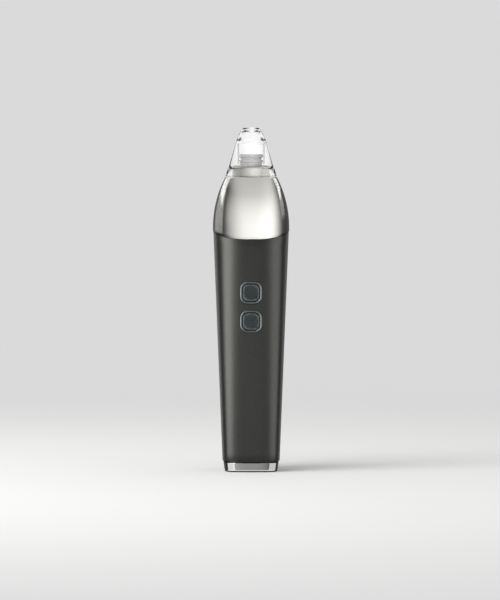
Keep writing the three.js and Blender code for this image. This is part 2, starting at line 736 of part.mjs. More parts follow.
function motorCan() {
  const neck = 3.6;
  const inside = MOTOR_RADIUS - CAN_WALL;
  return turned([
    [inside, CAN_BOTTOM],
    [MOTOR_RADIUS, CAN_BOTTOM],
    [MOTOR_RADIUS, MOTOR_TOP - 0.6],
    [MOTOR_RADIUS - 0.6, MOTOR_TOP],
    [neck, MOTOR_TOP],
    [neck, MOTOR_TOP + 1.6],
    [BUSH_RADIUS + 0.2, MOTOR_TOP + 1.6],
    [BUSH_RADIUS + 0.2, MOTOR_TOP - 1],
    [inside, MOTOR_TOP - 1],
  ]);
}

function endBell() {
  const plug = MOTOR_RADIUS - CAN_WALL - 0.2;
  return turned([
    [BUSH_RADIUS + 0.2, MOTOR_BOTTOM],
    [MOTOR_RADIUS, MOTOR_BOTTOM],
    [MOTOR_RADIUS, CAN_BOTTOM - FIT],
    [plug, CAN_BOTTOM - FIT],
    [plug, CAN_BOTTOM + 1.5],
    [BUSH_RADIUS + 0.2, CAN_BOTTOM + 1.5],
  ]);
}

// One pole of the armature: a stem with a curved shoe.
function pole(angle) {
  const shoe = new THREE.Shape();
  const spread = 0.8;
  shoe.absarc(0, 0, ARMATURE_RADIUS, -spread, spread);
  shoe.absarc(0, 0, ARMATURE_RADIUS - 1.3, spread, -spread, true);
  const stem = block(0, ARMATURE_RADIUS - 0.8, -1.2, 1.2, ARMATURE_BOTTOM, ARMATURE_TOP);
  return join(raised(shoe, ARMATURE_BOTTOM, ARMATURE_TOP), stem).rotateZ(angle);
}

function armature() {
  const hub = rod(2.6, ARMATURE_BOTTOM - 0.5, ARMATURE_TOP + 0.5);
  const commutator = rod(2.3, ARMATURE_BOTTOM - 3.6, ARMATURE_BOTTOM);
  const poles = Array.from({ length: POLES }, (_, i) => pole((2 * Math.PI * i) / POLES));
  return cut(join(hub, commutator, ...poles), rod(SHAFT_RADIUS + 0.05, 80, 110));
}

function magnet(side) {
  const shape = new THREE.Shape();
  const reach = 1.05;
  shape.absarc(0, 0, MOTOR_RADIUS - CAN_WALL - 0.2, -reach, reach);
  shape.absarc(0, 0, ARMATURE_RADIUS + 0.5, reach, -reach, true);
  return raised(shape, ARMATURE_BOTTOM - 1, ARMATURE_TOP + 1).rotateZ(side > 0 ? 0 : Math.PI);
}

function bush(low) {
  return ringTurned(SHAFT_RADIUS + 0.1, BUSH_RADIUS, low, low + 2.6);
}

add('motor_can', motorCan(), 'steel');
add('motor_end_bell', endBell(), 'blackPlastic');
add('motor_bush_upper', bush(MOTOR_TOP - 1.2), 'brass');
add('motor_bush_lower', bush(MOTOR_BOTTOM + 0.4), 'brass');
add('motor_magnet_left', magnet(-1), 'magnet');
add('motor_magnet_right', magnet(1), 'magnet');
add('motor_armature', armature(), 'steel');
add('motor_shaft', rod(SHAFT_RADIUS, MOTOR_BOTTOM - 0.6, SHAFT_TOP), 'steel');

// Three-cup wobble pump: the leaning pin makes the plate nod round without turning

const CASE_FLOOR = 1.7;
const ECCENTRIC_TOP = 118.4;
const PIN_RADIUS = 0.75;
const PIN_LOW = -6.4;
const ARM_TOP = -1.6;
const ARM_THICK = 1.2;
const ARM_HOLE = 1.1;
const PLATE_BOTTOM = 125.8;
const PLATE_TOP = 127.6;
const COVER_BOTTOM = 127.9;

const cupAngles = Array.from({ length: PUMP_CUPS }, (_, i) => (2 * Math.PI * i) / PUMP_CUPS);
const screwAngles = cupAngles.map((angle) => angle + Math.PI / PUMP_CUPS);

function screwHolesThrough(low, high) {
  return screwAngles.map((angle) => atRing(rod(SCREW_HOLE, low, high, ROUND_SMALL), SCREW_RING, angle));
}

function pumpCase() {
  const neckHole = 3.9;
  const cup = turned([
    [neckHole, PUMP_BOTTOM],
    [PUMP_RADIUS, PUMP_BOTTOM],
    [PUMP_RADIUS, PUMP_CASE_TOP],
    [PUMP_BORE, PUMP_CASE_TOP],
    [PUMP_BORE, PUMP_BOTTOM + CASE_FLOOR],
    [neckHole, PUMP_BOTTOM + CASE_FLOOR],
  ]);
  return cut(cup, ...screwHolesThrough(PUMP_BOTTOM + CASE_FLOOR, PUMP_CASE_TOP + 1));
}

function eccentric() {
  const bottom = 112.6;
  const wheel = rod(4, bottom, ECCENTRIC_TOP);
  const shaftBore = rod(SHAFT_RADIUS + 0.05, bottom - 1, SHAFT_TOP + 0.2);
  const pinBore = rod(PIN_RADIUS + 0.2, PIN_LOW - 0.2, 0, ROUND_SMALL).applyMatrix4(wobble.matrix);
  return cut(wheel, shaftBore, pinBore);
}

function wobblePlate() {
  const hub = rod(2.6, ARM_TOP - ARM_THICK, 0.4);
  const arms = cupAngles.map((angle) => {
    const bar = block(0, CUP_RING, -1.5, 1.5, ARM_TOP - ARM_THICK, ARM_TOP).rotateZ(angle);
    return join(bar, atRing(rod(2, ARM_TOP - ARM_THICK, ARM_TOP, ROUND_SMALL), CUP_RING, angle));
  });
  const holes = cupAngles.map((angle) => atRing(rod(ARM_HOLE, -5, 0, ROUND_SMALL), CUP_RING, angle));
  const bore = rod(PIN_RADIUS + 0.05, -6, 2, ROUND_SMALL);
  return cut(join(hub, ...arms), bore, ...holes);
}

function diaphragm() {
  const sheetLow = PUMP_CASE_TOP + 0.2;
  const sheetHigh = PLATE_BOTTOM - 0.2;
  const cupFloor = 122.4;
  const sheet = rod(PUMP_RADIUS, sheetLow, sheetHigh);
  const cups = cupAngles.map((angle) => {
    const armDrop = CUP_RING * Math.cos(angle) * Math.sin(WOBBLE_ANGLE);
    const bulbTop = PIVOT_HEIGHT + ARM_TOP - ARM_THICK - armDrop - 0.5;
    const cup = rod(3, cupFloor, sheetHigh, ROUND_SMALL);
    const stem = rod(0.65, bulbTop - 0.5, cupFloor + 0.3, ROUND_SMALL);
    const bulb = rod(1.5, bulbTop - 0.7, bulbTop, ROUND_SMALL);
    return atRing(join(cup, stem, bulb), CUP_RING, angle);
  });
  const well = rod(2.3, cupFloor + 0.6, sheetHigh + 1, ROUND_SMALL);
  const wells = cupAngles.map((angle) => atRing(well, CUP_RING, angle));
  return cut(join(sheet, ...cups), ...wells, ...screwHolesThrough(sheetLow - 1, sheetHigh + 1));
}

function valvePlate() {
  const ports = cupAngles.flatMap((angle) =>
    [CUP_RING - 1.2, CUP_RING + 1.2].map((radius) => atRing(rod(0.7, 120, 130, 8), radius, angle)),
  );
  return cut(rod(PUMP_RADIUS, PLATE_BOTTOM, PLATE_TOP), ...ports, ...screwHolesThrough(120, 130));
}

const COVER_RECESS = 9.4;
const COVER_CEILING = 129.4;
const OUTLET_X = 7.2;
const INLET_BARB_TOP = 139;

function pumpCover() {
  const bore = 1.2;
  const body = turned([
    [bore, COVER_CEILING],
    [COVER_RECESS, COVER_CEILING],
    [COVER_RECESS, COVER_BOTTOM],
    [PUMP_RADIUS, COVER_BOTTOM],
    [PUMP_RADIUS, PUMP_COVER_TOP],
    [BARB_RADIUS, PUMP_COVER_TOP],
    [BARB_RADIUS, INLET_BARB_TOP - 1.8],
    [BARB_RIDGE, INLET_BARB_TOP - 1.6],
    [BARB_RADIUS - 0.3, INLET_BARB_TOP],
    [bore, INLET_BARB_TOP],
  ]);
  const outlet = rod(1.8, PUMP_COVER_TOP - 1, PUMP_COVER_TOP + 4, ROUND_SMALL).translate(OUTLET_X, 0, 0);
  const outletBore = rod(0.9, COVER_CEILING - 1, PUMP_COVER_TOP + 5, ROUND_SMALL).translate(OUTLET_X, 0, 0);
  return cut(join(body, outlet), outletBore, ...screwHolesThrough(120, 140));
}

function pumpScrew() {
  const head = rod(1.9, PUMP_COVER_TOP + 0.1, PUMP_COVER_TOP + 1.5, ROUND_SMALL);
  return join(head, rod(SCREW_SHANK, 114, PUMP_COVER_TOP + 0.5, ROUND_SMALL));
}

add('pump_case', pumpCase(), 'blackPlastic');
add('drive_eccentric', eccentric(), 'brass');
add('drive_pin', rod(PIN_RADIUS, PIN_LOW, 1, ROUND_SMALL), 'steel', { parent: wobble });
add('wobble_plate', wobblePlate(), 'whitePlastic', { parent: wobble });
add('pump_diaphragm', diaphragm(), 'silicone');
add('valve_plate', valvePlate(), 'blackPlastic');
add('valve_flap', rod(COVER_RECESS - FIT, PLATE_TOP + 0.2, PLATE_TOP + 0.8), 'silicone');
add('pump_cover', pumpCover(), 'blackPlastic');
screwAngles.forEach((angle, i) => {
  add(`pump_screw_${i + 1}`, pumpScrew(), 'steel', { at: ringPlace(SCREW_RING, angle) });
});
add('pump_mount_ring', ringTurned(PUMP_RADIUS + 0.2, 15.7, 114, 121), 'rubber');
add('inlet_hose', ringTurned(BARB_RIDGE + 0.15, 3.7, PUMP_COVER_TOP + 0.6, 154), 'silicone');

// Battery and its tabs

function batteryCell() {
  const edge = 0.6;
  const knob = 2.8;
  return turned([
    [0, BATTERY_BOTTOM],
    [BATTERY_RADIUS - edge, BATTERY_BOTTOM],
    [BATTERY_RADIUS, BATTERY_BOTTOM + edge],
    [BATTERY_RADIUS, BATTERY_TOP - edge],
    [BATTERY_RADIUS - edge, BATTERY_TOP],
    [knob, BATTERY_TOP],
    [knob, BATTERY_TOP + 1],
    [0, BATTERY_TOP + 1],
  ]);
}

const TAB_TOP = BATTERY_TOP + 1.2;
const TAB_BOTTOM = BATTERY_BOTTOM - 0.8;
const TAB_THICK = 0.4;

add('battery_cell', batteryCell(), 'cellWrap');
add('battery_tab_top', block(-2.5, 2.5, -7, 3, TAB_TOP, TAB_TOP + TAB_THICK), 'steel');
add('battery_tab_bottom', block(-2.5, 2.5, -7, 3, TAB_BOTTOM, TAB_BOTTOM + TAB_THICK), 'steel');

// Foot: dark base plate, bright ring, charging socket

function basePlate() {
  const rows = [
    sectionRing(FOOT_HALF - 0.3, SQUARE_BASE, 0),
    sectionRing(FOOT_HALF, SQUARE_BASE, 0.25),
    sectionRing(FOOT_HALF, SQUARE_BASE, FOOT_FLANGE),
    sectionRing(FOOT_CORE_HALF, SQUARE_BASE, FOOT_FLANGE),
    sectionRing(FOOT_CORE_HALF, SQUARE_BASE, FOOT_CORE_TOP),
    sectionRing(FOOT_CORE_HALF - 1.6, SQUARE_BASE, FOOT_CORE_TOP),
    sectionRing(FOOT_CORE_HALF - 1.6, SQUARE_BASE, FOOT_FLOOR),
  ];
  const socketSlot = raised(roundedRectangle(4.8, 1.95, 1.9), -1, FOOT_FLOOR + 1);
  const screwHoles = FOOT_SCREWS.flatMap(({ x, y }) => [
    rod(SCREW_HOLE, -1, FOOT_FLOOR + 1, ROUND_SMALL).translate(x, y, 0),
    rod(2.2, -1, 1.9, ROUND_SMALL).translate(x, y, 0),
  ]);
  const vent = raised(roundedRectangle(1.6, 0.5, 0.45), -1, FOOT_FLOOR + 1, 2);
  const vents = [-1, 0, 1].map((i) => vent.clone().translate(4.6 * i, -7.4, 0));
  return cut(skin(rows, false), socketSlot, ...screwHoles, ...vents);
}

function baseRing() {
  const outer = [
    sectionRing(RING_BOTTOM_HALF - 0.45, SQUARE_BASE, RING_BOTTOM),
    sectionRing(RING_BOTTOM_HALF - 0.12, SQUARE_BASE, RING_BOTTOM + 0.25),
    sectionRing(RING_BOTTOM_HALF, SQUARE_BASE, RING_BOTTOM + 0.7),
    sectionRing(RING_TOP_HALF, SQUARE_BASE, RING_TOP - 0.15),
    sectionRing(RING_TOP_HALF - 0.15, SQUARE_BASE, RING_TOP),
  ];
  const bore = RING_TOP_HALF - RING_WALL;
  const inner = [sectionRing(bore, SQUARE_BASE, RING_TOP), sectionRing(bore, SQUARE_BASE, RING_BOTTOM)];
  return skin([...outer, ...inner], true);
}

function footScrew() {
  return join(rod(1.9, 0.4, 1.7, ROUND_SMALL), rod(SCREW_SHANK, 1.5, 22, ROUND_SMALL));
}

const SOCKET_HALF_X = 4.47;
const SOCKET_HALF_Y = 1.63;
const SOCKET_MOUTH = 0.35;
const SOCKET_TOP = 8.2;
const SOCKET_WALL = 0.3;

function usbSocket() {
  const outer = raised(roundedRectangle(SOCKET_HALF_X, SOCKET_HALF_Y, 1.55), SOCKET_MOUTH, SOCKET_TOP);
  const hollow = roundedRectangle(SOCKET_HALF_X - SOCKET_WALL, SOCKET_HALF_Y - SOCKET_WALL, 1.25);
  return cut(outer, raised(hollow, SOCKET_MOUTH - 1, SOCKET_TOP - 1));
}

add('base_plate', basePlate(), 'darkPlastic');
add('base_ring', baseRing(), 'brightChrome');
FOOT_SCREWS.forEach(({ x, y }, i) => {
  add(`base_screw_${['left', 'right'][i]}`, footScrew(), 'steel', { at: [x, y, 0] });
});
add('usb_socket', usbSocket(), 'steel');
add('usb_tongue', block(-3.35, 3.35, -0.35, 0.35, 1.4, SOCKET_TOP - 1.2), 'blackPlastic');
add('charge_board', block(-7, 7, -5.5, 5.5, SOCKET_TOP + 0.3, SOCKET_TOP + 1.3), 'boardGreen');

// Wires, each between its solder points

const BOARD_SOLDER_Y = -9.6;

function motorLead(side) {
  const x = 5 * side;
  return wire([[x, -4, 81.2], [x, -4.3, 79], [0.92 * x, -6.5, 77], [0.8 * x, BOARD_SOLDER_Y, 76.2]]);
}

add('motor_lead_red', motorLead(-1), 'redWire');
add('motor_lead_black', motorLead(1), 'blackWire');

// A wire that keeps to one upright plane, from [y, z] pairs, and ends at the control board.
function uprightLead(x, route) {
  return wire([...route, [BOARD_SOLDER_Y, 74.6]].map(([y, z]) => [x, y, z]));
}

add('battery_lead_red', uprightLead(-0.3, [[-6, 71.4], [-8, 72.2]]), 'redWire');
add('battery_lead_black', uprightLead(1.5, [[-8, 19.4], [-9.3, 22], [BOARD_SOLDER_Y, 36]]), 'blackWire');
const chargeRoute = [[-4.6, 10.4], [-7.5, 12.5], [BOARD_SOLDER_Y, 18], [BOARD_SOLDER_Y, 46]];
add('charge_lead', uprightLead(-2.6, chargeRoute), 'redWire');

export default device;
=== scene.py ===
"""Looks of the pore vacuum: smooth outer pieces, a finish for every piece, floor, light and camera."""

import math

import bmesh
import bpy
from mathutils import Matrix, Vector


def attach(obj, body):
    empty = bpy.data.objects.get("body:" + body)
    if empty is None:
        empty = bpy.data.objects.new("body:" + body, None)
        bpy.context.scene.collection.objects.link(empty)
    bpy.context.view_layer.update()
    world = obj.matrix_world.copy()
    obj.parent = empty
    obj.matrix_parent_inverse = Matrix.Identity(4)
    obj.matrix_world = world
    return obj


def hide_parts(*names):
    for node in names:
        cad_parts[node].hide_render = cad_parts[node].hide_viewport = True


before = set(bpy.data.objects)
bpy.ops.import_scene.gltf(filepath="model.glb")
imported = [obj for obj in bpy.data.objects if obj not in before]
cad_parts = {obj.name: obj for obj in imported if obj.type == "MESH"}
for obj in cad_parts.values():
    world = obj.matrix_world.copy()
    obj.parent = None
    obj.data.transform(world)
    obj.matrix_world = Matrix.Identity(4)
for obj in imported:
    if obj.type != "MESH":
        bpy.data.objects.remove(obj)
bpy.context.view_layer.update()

MM = 0.001

# Outer form, in millimetres
BODY_BOTTOM = 5.9
BODY_BOTTOM_HALF = 15.8
BODY_TAPER = 0.0398
SEAM_FRONT = 127.9
SEAM_RISE = 3.8
SEAM_POWER = 3.3
SEAM_GAP = 0.3
CREST = 134.3
HEAD_ARC = 59.5
SHOULDER = 162
SHOULDER_ROUND = 0.9
HEAD_PROUD = 0.23
SQUARE_BASE = 4.2
SQUARE_SEAM = 3.0
SQUARE_TOP = 5.0
SQUARE_CLIMB = 2.5
BODY_WALL = 1.8
HEAD_WALL = 2.4
HEAD_CEILING = 160
INSIDE_HEIGHTS = (HEAD_CEILING, 156, 152, 148, 144, 141, 138.7)
NECK_HOLE = 10.5
NECK_EDGE = 0.15
LIP_WALL = 1.2
LIP_BOTTOM = 124.5
LIP_TOP = 137.8
EDGE_ROUND = 0.2
EDGE_STEP = 0.3 * EDGE_ROUND

# Push buttons, on the sloping front face
CONTROLS_HEIGHT = 90.9
BUTTON_OFFSETS = {"power": 7.9, "level": -7.9}
BUTTON_HALF = 4.55
BUTTON_CORNER = 2.9
BUTTON_PROUD = 0.3
BUTTON_EDGE = 0.3
STEM_RADIUS = 1.6
STEM_BOTTOM = -3.45
FLANGE_REACH = 1
FLANGE_BOTTOM = -2.85
FLANGE_TOP = -2.05
DISH_RADIUS = 3.8
DISH_DEPTH = 0.42
BEZEL_HALF = 6
BEZEL_CORNER = 4.2
BEZEL_RIM = 0.9
BEZEL_PROUD = 0.25
BEZEL_DEPTH = 0.8
FIT = 0.3

# Foot
FOOT_HALF = 14.4
FOOT_FLANGE = 0.4
FOOT_CORE_HALF = 13.2
FOOT_CORE_WALL = 1.6
FOOT_CORE_TOP = 14
FOOT_FLOOR = 3
RING_BOTTOM = 0.65
RING_TOP = 5.1
RING_TOP_HALF = 15.25
RING_BOTTOM_HALF = 14.78
RING_BORE_HALF = 13.5
RING_LOWER_ROUND = 0.7
RING_UPPER_ROUND = 0.16
FOOT_SCREWS = {"left": (-8.6, 7.2), "right": (8.6, 7.2)}
SCREW_HOLES = ((2.2, 1.9), (1.15, 5))  # radius and top of the head's hole and of the shank's
CROSS_REACH = 1.15
CROSS_HALF = 0.28
CROSS_CORNER = 0.1
CROSS_TOP = 1.1
SLOT_HALF = (4.8, 1.95)
SLOT_CORNER = 1.9
VENT_HALF = (1.6, 0.5)
VENT_CORNER = 0.45
VENT_PLACES = (-4.6, 0, 4.6)
VENT_LINE = -7.4
CUT_BOTTOM = -1
CUT_TOP = 5
SOCKET_HALF = (4.47, 1.63)
SOCKET_CORNER = 1.55
SOCKET_BOTTOM = 0.35
SOCKET_TOP = 8.2
SOCKET_WALL = 0.3
SOCKET_END = 1

# Fineness
CORNER_STEPS = 36
TURN_STEPS = 128
BEVEL_STEPS = 5
PRISM_STEPS = 10
SMOOTH_ANGLE = math.radians(32)
DOUBLES = 0.001 * MM
ALMOST = 1e-6

# The superellipse power of a circle, and the corner shares that make a square ring or hole nearly round
CIRCLE = 2
FULL_ROUND = 0.98
HOLE_ROUND = 0.999


# Modelling

def begin(name):
    """An empty piece at the origin, open for editing, with nothing else selected."""
    bpy.ops.object.select_all(action="DESELECT")
    bpy.ops.object.add(type="MESH")
    piece = bpy.context.object
    piece.name = name
    piece.data.name = name
    bpy.ops.object.mode_set(mode="EDIT")
    bpy.ops.mesh.select_mode(type="VERT")
    return piece


def editing():
    return bmesh.from_edit_mesh(bpy.context.object.data)


def close_up():
    """Merges doubled points, turns the faces outwards and leaves edit mode."""
    bpy.ops.mesh.select_all(action="SELECT")
    bpy.ops.mesh.remove_doubles(threshold=DOUBLES)
    bpy.ops.mesh.normals_make_consistent(inside=False)
    bpy.ops.object.mode_set(mode="OBJECT")
    bpy.ops.object.shade_smooth_by_angle(angle=SMOOTH_ANGLE)


def select_points(wanted):
    """Selects the points that pass a test, and the edges and faces between them."""
    bpy.ops.mesh.select_all(action="DESELECT")
    mesh = editing()
    for point in mesh.verts:
        point.select = wanted(point)
    mesh.select_flush(True)
    bmesh.update_edit_mesh(bpy.context.object.data)


def add_ring(number, power, place, corner):
    """A square of edges, its corners rounded to a superellipse, each point then put in its place."""
    bpy.ops.mesh.primitive_plane_add(size=2)
    bpy.ops.mesh.bevel(
        offset=corner,
        segments=CORNER_STEPS,
        profile=0.5 ** (2 / power),
        affect="VERTICES",
        clamp_overlap=False,
    )
    bpy.ops.mesh.remove_doubles(threshold=ALMOST)
    mesh = editing()
    marks = mesh.verts.layers.int.get("ring") or mesh.verts.layers.int.new("ring")
    for point in mesh.verts:
        if point.select:
            point[marks] = number
            point.co = Vector(place(point.co.x, point.co.y)) * MM
    bpy.ops.mesh.delete(type="ONLY_FACE")


def skin(name, rings, ends="joined"):
    """A solid skinned over rings: its last ring joins the first, or both ends get a flat face."""
    piece = begin(name)
    for number, (power, place, corner) in enumerate(rings, start=1):
        add_ring(number, power, place, corner)
    pairs = [(number, number + 1) for number in range(1, len(rings))]
    if ends == "joined":
        pairs.append((len(rings), 1))
    marks = editing().verts.layers.int["ring"]
    for pair in pairs:
        select_points(lambda point: point[marks] in pair)
        bpy.ops.mesh.bridge_edge_loops()
        marks = editing().verts.layers.int["ring"]
    if ends == "flat":
        for number in (1, len(rings)):
            select_points(lambda point: point[marks] == number)
            bpy.ops.mesh.edge_face_add()
            marks = editing().verts.layers.int["ring"]
    close_up()
    return piece


def flat_ring(half, height, power, corner=1.0):
    """A level ring; corner is the share of its half width that the rounding takes."""
    return power, lambda u, v: (half * u, half * v, height), corner


def turn(name, profile):
    """A closed profile of radius, height and corner rounding, spun round the upright axis."""
    piece = begin(name)
    bpy.ops.mesh.primitive_circle_add(vertices=len(profile), radius=1)
    mesh = editing()
    marks = mesh.verts.layers.float.new("rounding")
    for point, (radius, height, rounding) in zip(mesh.verts, profile):
        point.co = Vector((radius, 0, height)) * MM
        point[marks] = rounding
    for rounding in sorted({rounding for _, _, rounding in profile if rounding}):
        marks = editing().verts.layers.float["rounding"]
        select_points(lambda point: abs(point[marks] - rounding) < ALMOST)
        for point in editing().verts:
            if point.select:
                point[marks] = 0
        bpy.ops.mesh.bevel(
            offset=rounding * MM, segments=BEVEL_STEPS, affect="VERTICES", clamp_overlap=False
        )
    bpy.ops.mesh.select_all(action="SELECT")
    bpy.ops.mesh.spin(steps=TURN_STEPS, angle=2 * math.pi, center=(0, 0, 0), axis=(0, 0, 1))
    close_up()
    return piece


def prism(name, half_x, half_y, corner, low, high):
    """A rounded rectangle raised from one height to another."""
    piece = begin(name)
    bpy.ops.mesh.primitive_plane_add(size=2 * MM, location=(0, 0, low * MM))
    bpy.ops.transform.resize(value=(half_x, half_y, 1), center_override=(0, 0, low * MM))
    bpy.ops.mesh.bevel(
        offset=corner * MM, segments=PRISM_STEPS, affect="VERTICES", clamp_overlap=False
    )
    bpy.ops.mesh.extrude_region_move(TRANSFORM_OT_translate={"value": (0, 0, (high - low) * MM)})
    close_up()
    return piece


def pick(piece):
    """Selects a piece alone and makes it the active one."""
    bpy.ops.object.select_all(action="DESELECT")
    bpy.context.view_layer.objects.active = piece
    piece.select_set(True)


def copy_of(piece, name):
    """A copy of a piece, with a mesh of its own."""
    pick(piece)
    bpy.ops.object.duplicate(linked=False)
    twin = bpy.context.object
    twin.name = name
    twin.data.name = name
    return twin


def slide(piece, x, y):
    """Moves a piece that was modelled round the upright axis to its place on the foot."""
    piece.data.transform(Matrix.Translation((x * MM, y * MM, 0)))
    return piece


def cut(piece, *cutters):
    """Cuts the cutters out of a piece and throws them away."""
    pick(piece)
    for cutter in cutters:
        opening = piece.modifiers.new("opening", "BOOLEAN")
        opening.object = cutter
        opening.operation = "DIFFERENCE"
        opening.solver = "EXACT"
        bpy.ops.object.modifier_apply(modifier=opening.name)
        bpy.data.objects.remove(cutter)
    bpy.ops.object.shade_smooth_by_angle(angle=SMOOTH_ANGLE)


# Outer form of body and head

def between(low, high, share):
    return low + (high - low) * share


def body_line(z):
    return BODY_BOTTOM_HALF + BODY_TAPER * (z - BODY_BOTTOM)


CREST_BLEND = BODY_TAPER / (2 * (CREST - SEAM_FRONT))
CREST_HALF = body_line(SEAM_FRONT) + CREST_BLEND * (CREST - SEAM_FRONT) ** 2


def half_width(z):
    """Half the width of the section at height z: a straight taper, then a barrel-shaped head."""
    if z <= SEAM_FRONT:
        return body_line(z)
    if z <= CREST:
        return CREST_HALF - CREST_BLEND * (CREST - z) ** 2
    return CREST_HALF - HEAD_ARC + math.sqrt(HEAD_ARC ** 2 - (z - CREST) ** 2)


def squareness(z):
    """Corners soften from the foot up to the seam and sharpen again up to the shoulder."""
    if z < SEAM_FRONT:
        return between(SQUARE_BASE, SQUARE_SEAM, (z - BODY_BOTTOM) / (SEAM_FRONT - BODY_BOTTOM))
    climb = ((z - SEAM_FRONT) / (SHOULDER - SEAM_FRONT)) ** SQUARE_CLIMB
    return between(SQUARE_SEAM, SQUARE_TOP, climb)


def seam_height(u):
    return SEAM_FRONT + SEAM_RISE * abs(u) ** SEAM_POWER


def form_ring(inset, height_at, power):
    """A ring on the outer form, set in by an inset; its height follows the share of the half width."""
    def place(u, v):
        z = height_at(u)
        half = half_width(z) - inset
        return half * u, half * v, z
    return power, place, 1.0


# Pieces

def tip_moulding():
    """Clear tip: a cone with a thick skirt, a rounded nose and an inner sleeve."""
    return turn("tip_moulding", [
        (10.55, 162.3, 0.1),
        (14.1, 162.3, 0.25),
        (12.95, 166.4, 0.15),
        (12.5, 166.7, 0.12),
        (8.35, 181, 0.9),
        (7.45, 184, 0.9),
        (6.35, 186.1, 0.7),
        (5.5, 187.6, 0.45),
        (4.75, 188.5, 0.3),
        (4.2, 188.9, 0.18),
        (3.8, 189, 0.12),
        (3.45, 188.8, 0.12),
        (3.2, 188.3, 0.2),
        (3.2, 187.4, 0.25),
        (3.6, 186.9, 0.2),
        (4.4, 186.5, 0.3),
        (5.2, 184.9, 0.5),
        (5.8, 183.2, 0.8),
        (6.95, 181.1, 0.8),
        (6.95, 168.4, 0.15),
        (7.4, 168.4, 0.15),
        (7.4, 180.6, 0.12),
        (7.71, 180.6, 0.12),
        (10.55, 167.4, 0.8),
    ])


def seal_moulding():
    """Ribbed seal that the tip's sleeve grips."""
    return turn("seal_moulding", [
        (4.7, 167.1, 0.1),
        (6.05, 167.1, 0.12),
        (6.05, 169.6, 0.1),
        (6.75, 169.85, 0.2),
        (6.75, 171.0, 0.2),
        (5.75, 171.25, 0.2),
        (5.75, 172.5, 0.2),
        (6.75, 172.75, 0.2),
        (6.75, 173.95, 0.2),
        (6.4, 174.4, 0.15),
        (3.4, 174.4, 0.15),
        (3.4, 173.6, 0.15),
        (4.7, 173.6, 0.1),
    ])


def collar_turning():
    """Satin neck collar that the tip's skirt slides over."""
    return turn("collar_turning", [
        (9.3, 157.8, 0.1),
        (12.2, 157.8, 0.15),
        (12.2, 159.7, 0.15),
        (10.2, 159.7, 0.1),
        (10.12, 167.2, 0.6),
        (9.3, 167.2, 0.15),
    ])


def spigot_moulding():
    """Suction spigot whose plate closes the collar."""
    return turn("spigot_moulding", [
        (1.4, 147, 0.1),
        (1.9, 147, 0.1),
        (2.5, 148.6, 0.05),
        (2.2, 148.8, 0.05),
        (2.2, 155.5, 0.2),
        (11.2, 155.5, 0.1),
        (11.2, 157.5, 0.1),
        (9.0, 157.5, 0.1),
        (9.0, 166.9, 0.15),
        (4.5, 166.9, 0.1),
        (4.5, 172, 0.2),
        (2.5, 172, 0.2),
        (2.5, 155.5, 0.1),
        (1.4, 154, 0.1),
    ])


def head_shell():
    """Satin head: lower edge, barrel side, rounded shoulder, neck hole, inside and locating lip."""
    def lower_edge(u):
        return seam_height(u) + SEAM_GAP

    def row(inset, rise):
        return form_ring(inset, lambda u: lower_edge(u) + rise, SQUARE_SEAM)

    arc_share = SHOULDER_ROUND / HEAD_ARC
    shoulder_start = (SHOULDER - SHOULDER_ROUND - arc_share * CREST) / (1 - arc_share)
    rings = [row(EDGE_ROUND - HEAD_PROUD, 0), row(EDGE_STEP - HEAD_PROUD, EDGE_STEP)]
    rows = 24
    for i in range(rows + 1):
        def height_at(u, share=i / rows):
            return between(lower_edge(u) + EDGE_ROUND, shoulder_start, share)
        rings.append(form_ring(-HEAD_PROUD, height_at, squareness(height_at(0))))
    lean = math.asin((shoulder_start - CREST) / HEAD_ARC)
    centre_half = half_width(shoulder_start) + HEAD_PROUD - SHOULDER_ROUND * math.cos(lean)
    steps = 6
    for i in range(1, steps + 1):
        angle = between(lean, math.pi / 2, i / steps)
        height = SHOULDER - SHOULDER_ROUND * (1 - math.sin(angle))
        rings.append(flat_ring(centre_half + SHOULDER_ROUND * math.cos(angle), height, SQUARE_TOP))
    rings.append(flat_ring(NECK_HOLE + NECK_EDGE, SHOULDER, CIRCLE))
    rings.append(flat_ring(NECK_HOLE, SHOULDER - NECK_EDGE, CIRCLE))
    rings.append(flat_ring(NECK_HOLE, HEAD_CEILING, CIRCLE))
    for height in INSIDE_HEIGHTS:
        rings.append(form_ring(HEAD_WALL, lambda u, z=height: z, squareness(height)))
    lip_inset = BODY_WALL + FIT
    rings.append(form_ring(lip_inset + LIP_WALL, lambda u: LIP_TOP, SQUARE_SEAM))
    rings.append(form_ring(lip_inset + LIP_WALL, lambda u: LIP_BOTTOM, SQUARE_SEAM))
    rings.append(form_ring(lip_inset, lambda u: LIP_BOTTOM, SQUARE_SEAM))
    rings.append(row(lip_inset, 0))
    return skin("head_shell", rings)


# Where the controls lie: X to the right, Y up the sloping front face, Z out of it
CONTROLS_PLACE = Vector((0, -half_width(CONTROLS_HEIGHT), CONTROLS_HEIGHT)) * MM
CONTROLS_TURN = Matrix.Rotation(math.pi / 2 + math.atan(BODY_TAPER), 4, "X")
FRONT_FACE = Matrix.Translation(CONTROLS_PLACE) @ CONTROLS_TURN


def on_front_face(piece, offset):
    """Moves a piece that was modelled flat to its place among the controls."""
    piece.data.transform(FRONT_FACE @ Matrix.Translation((0, offset * MM, 0)))
    return piece


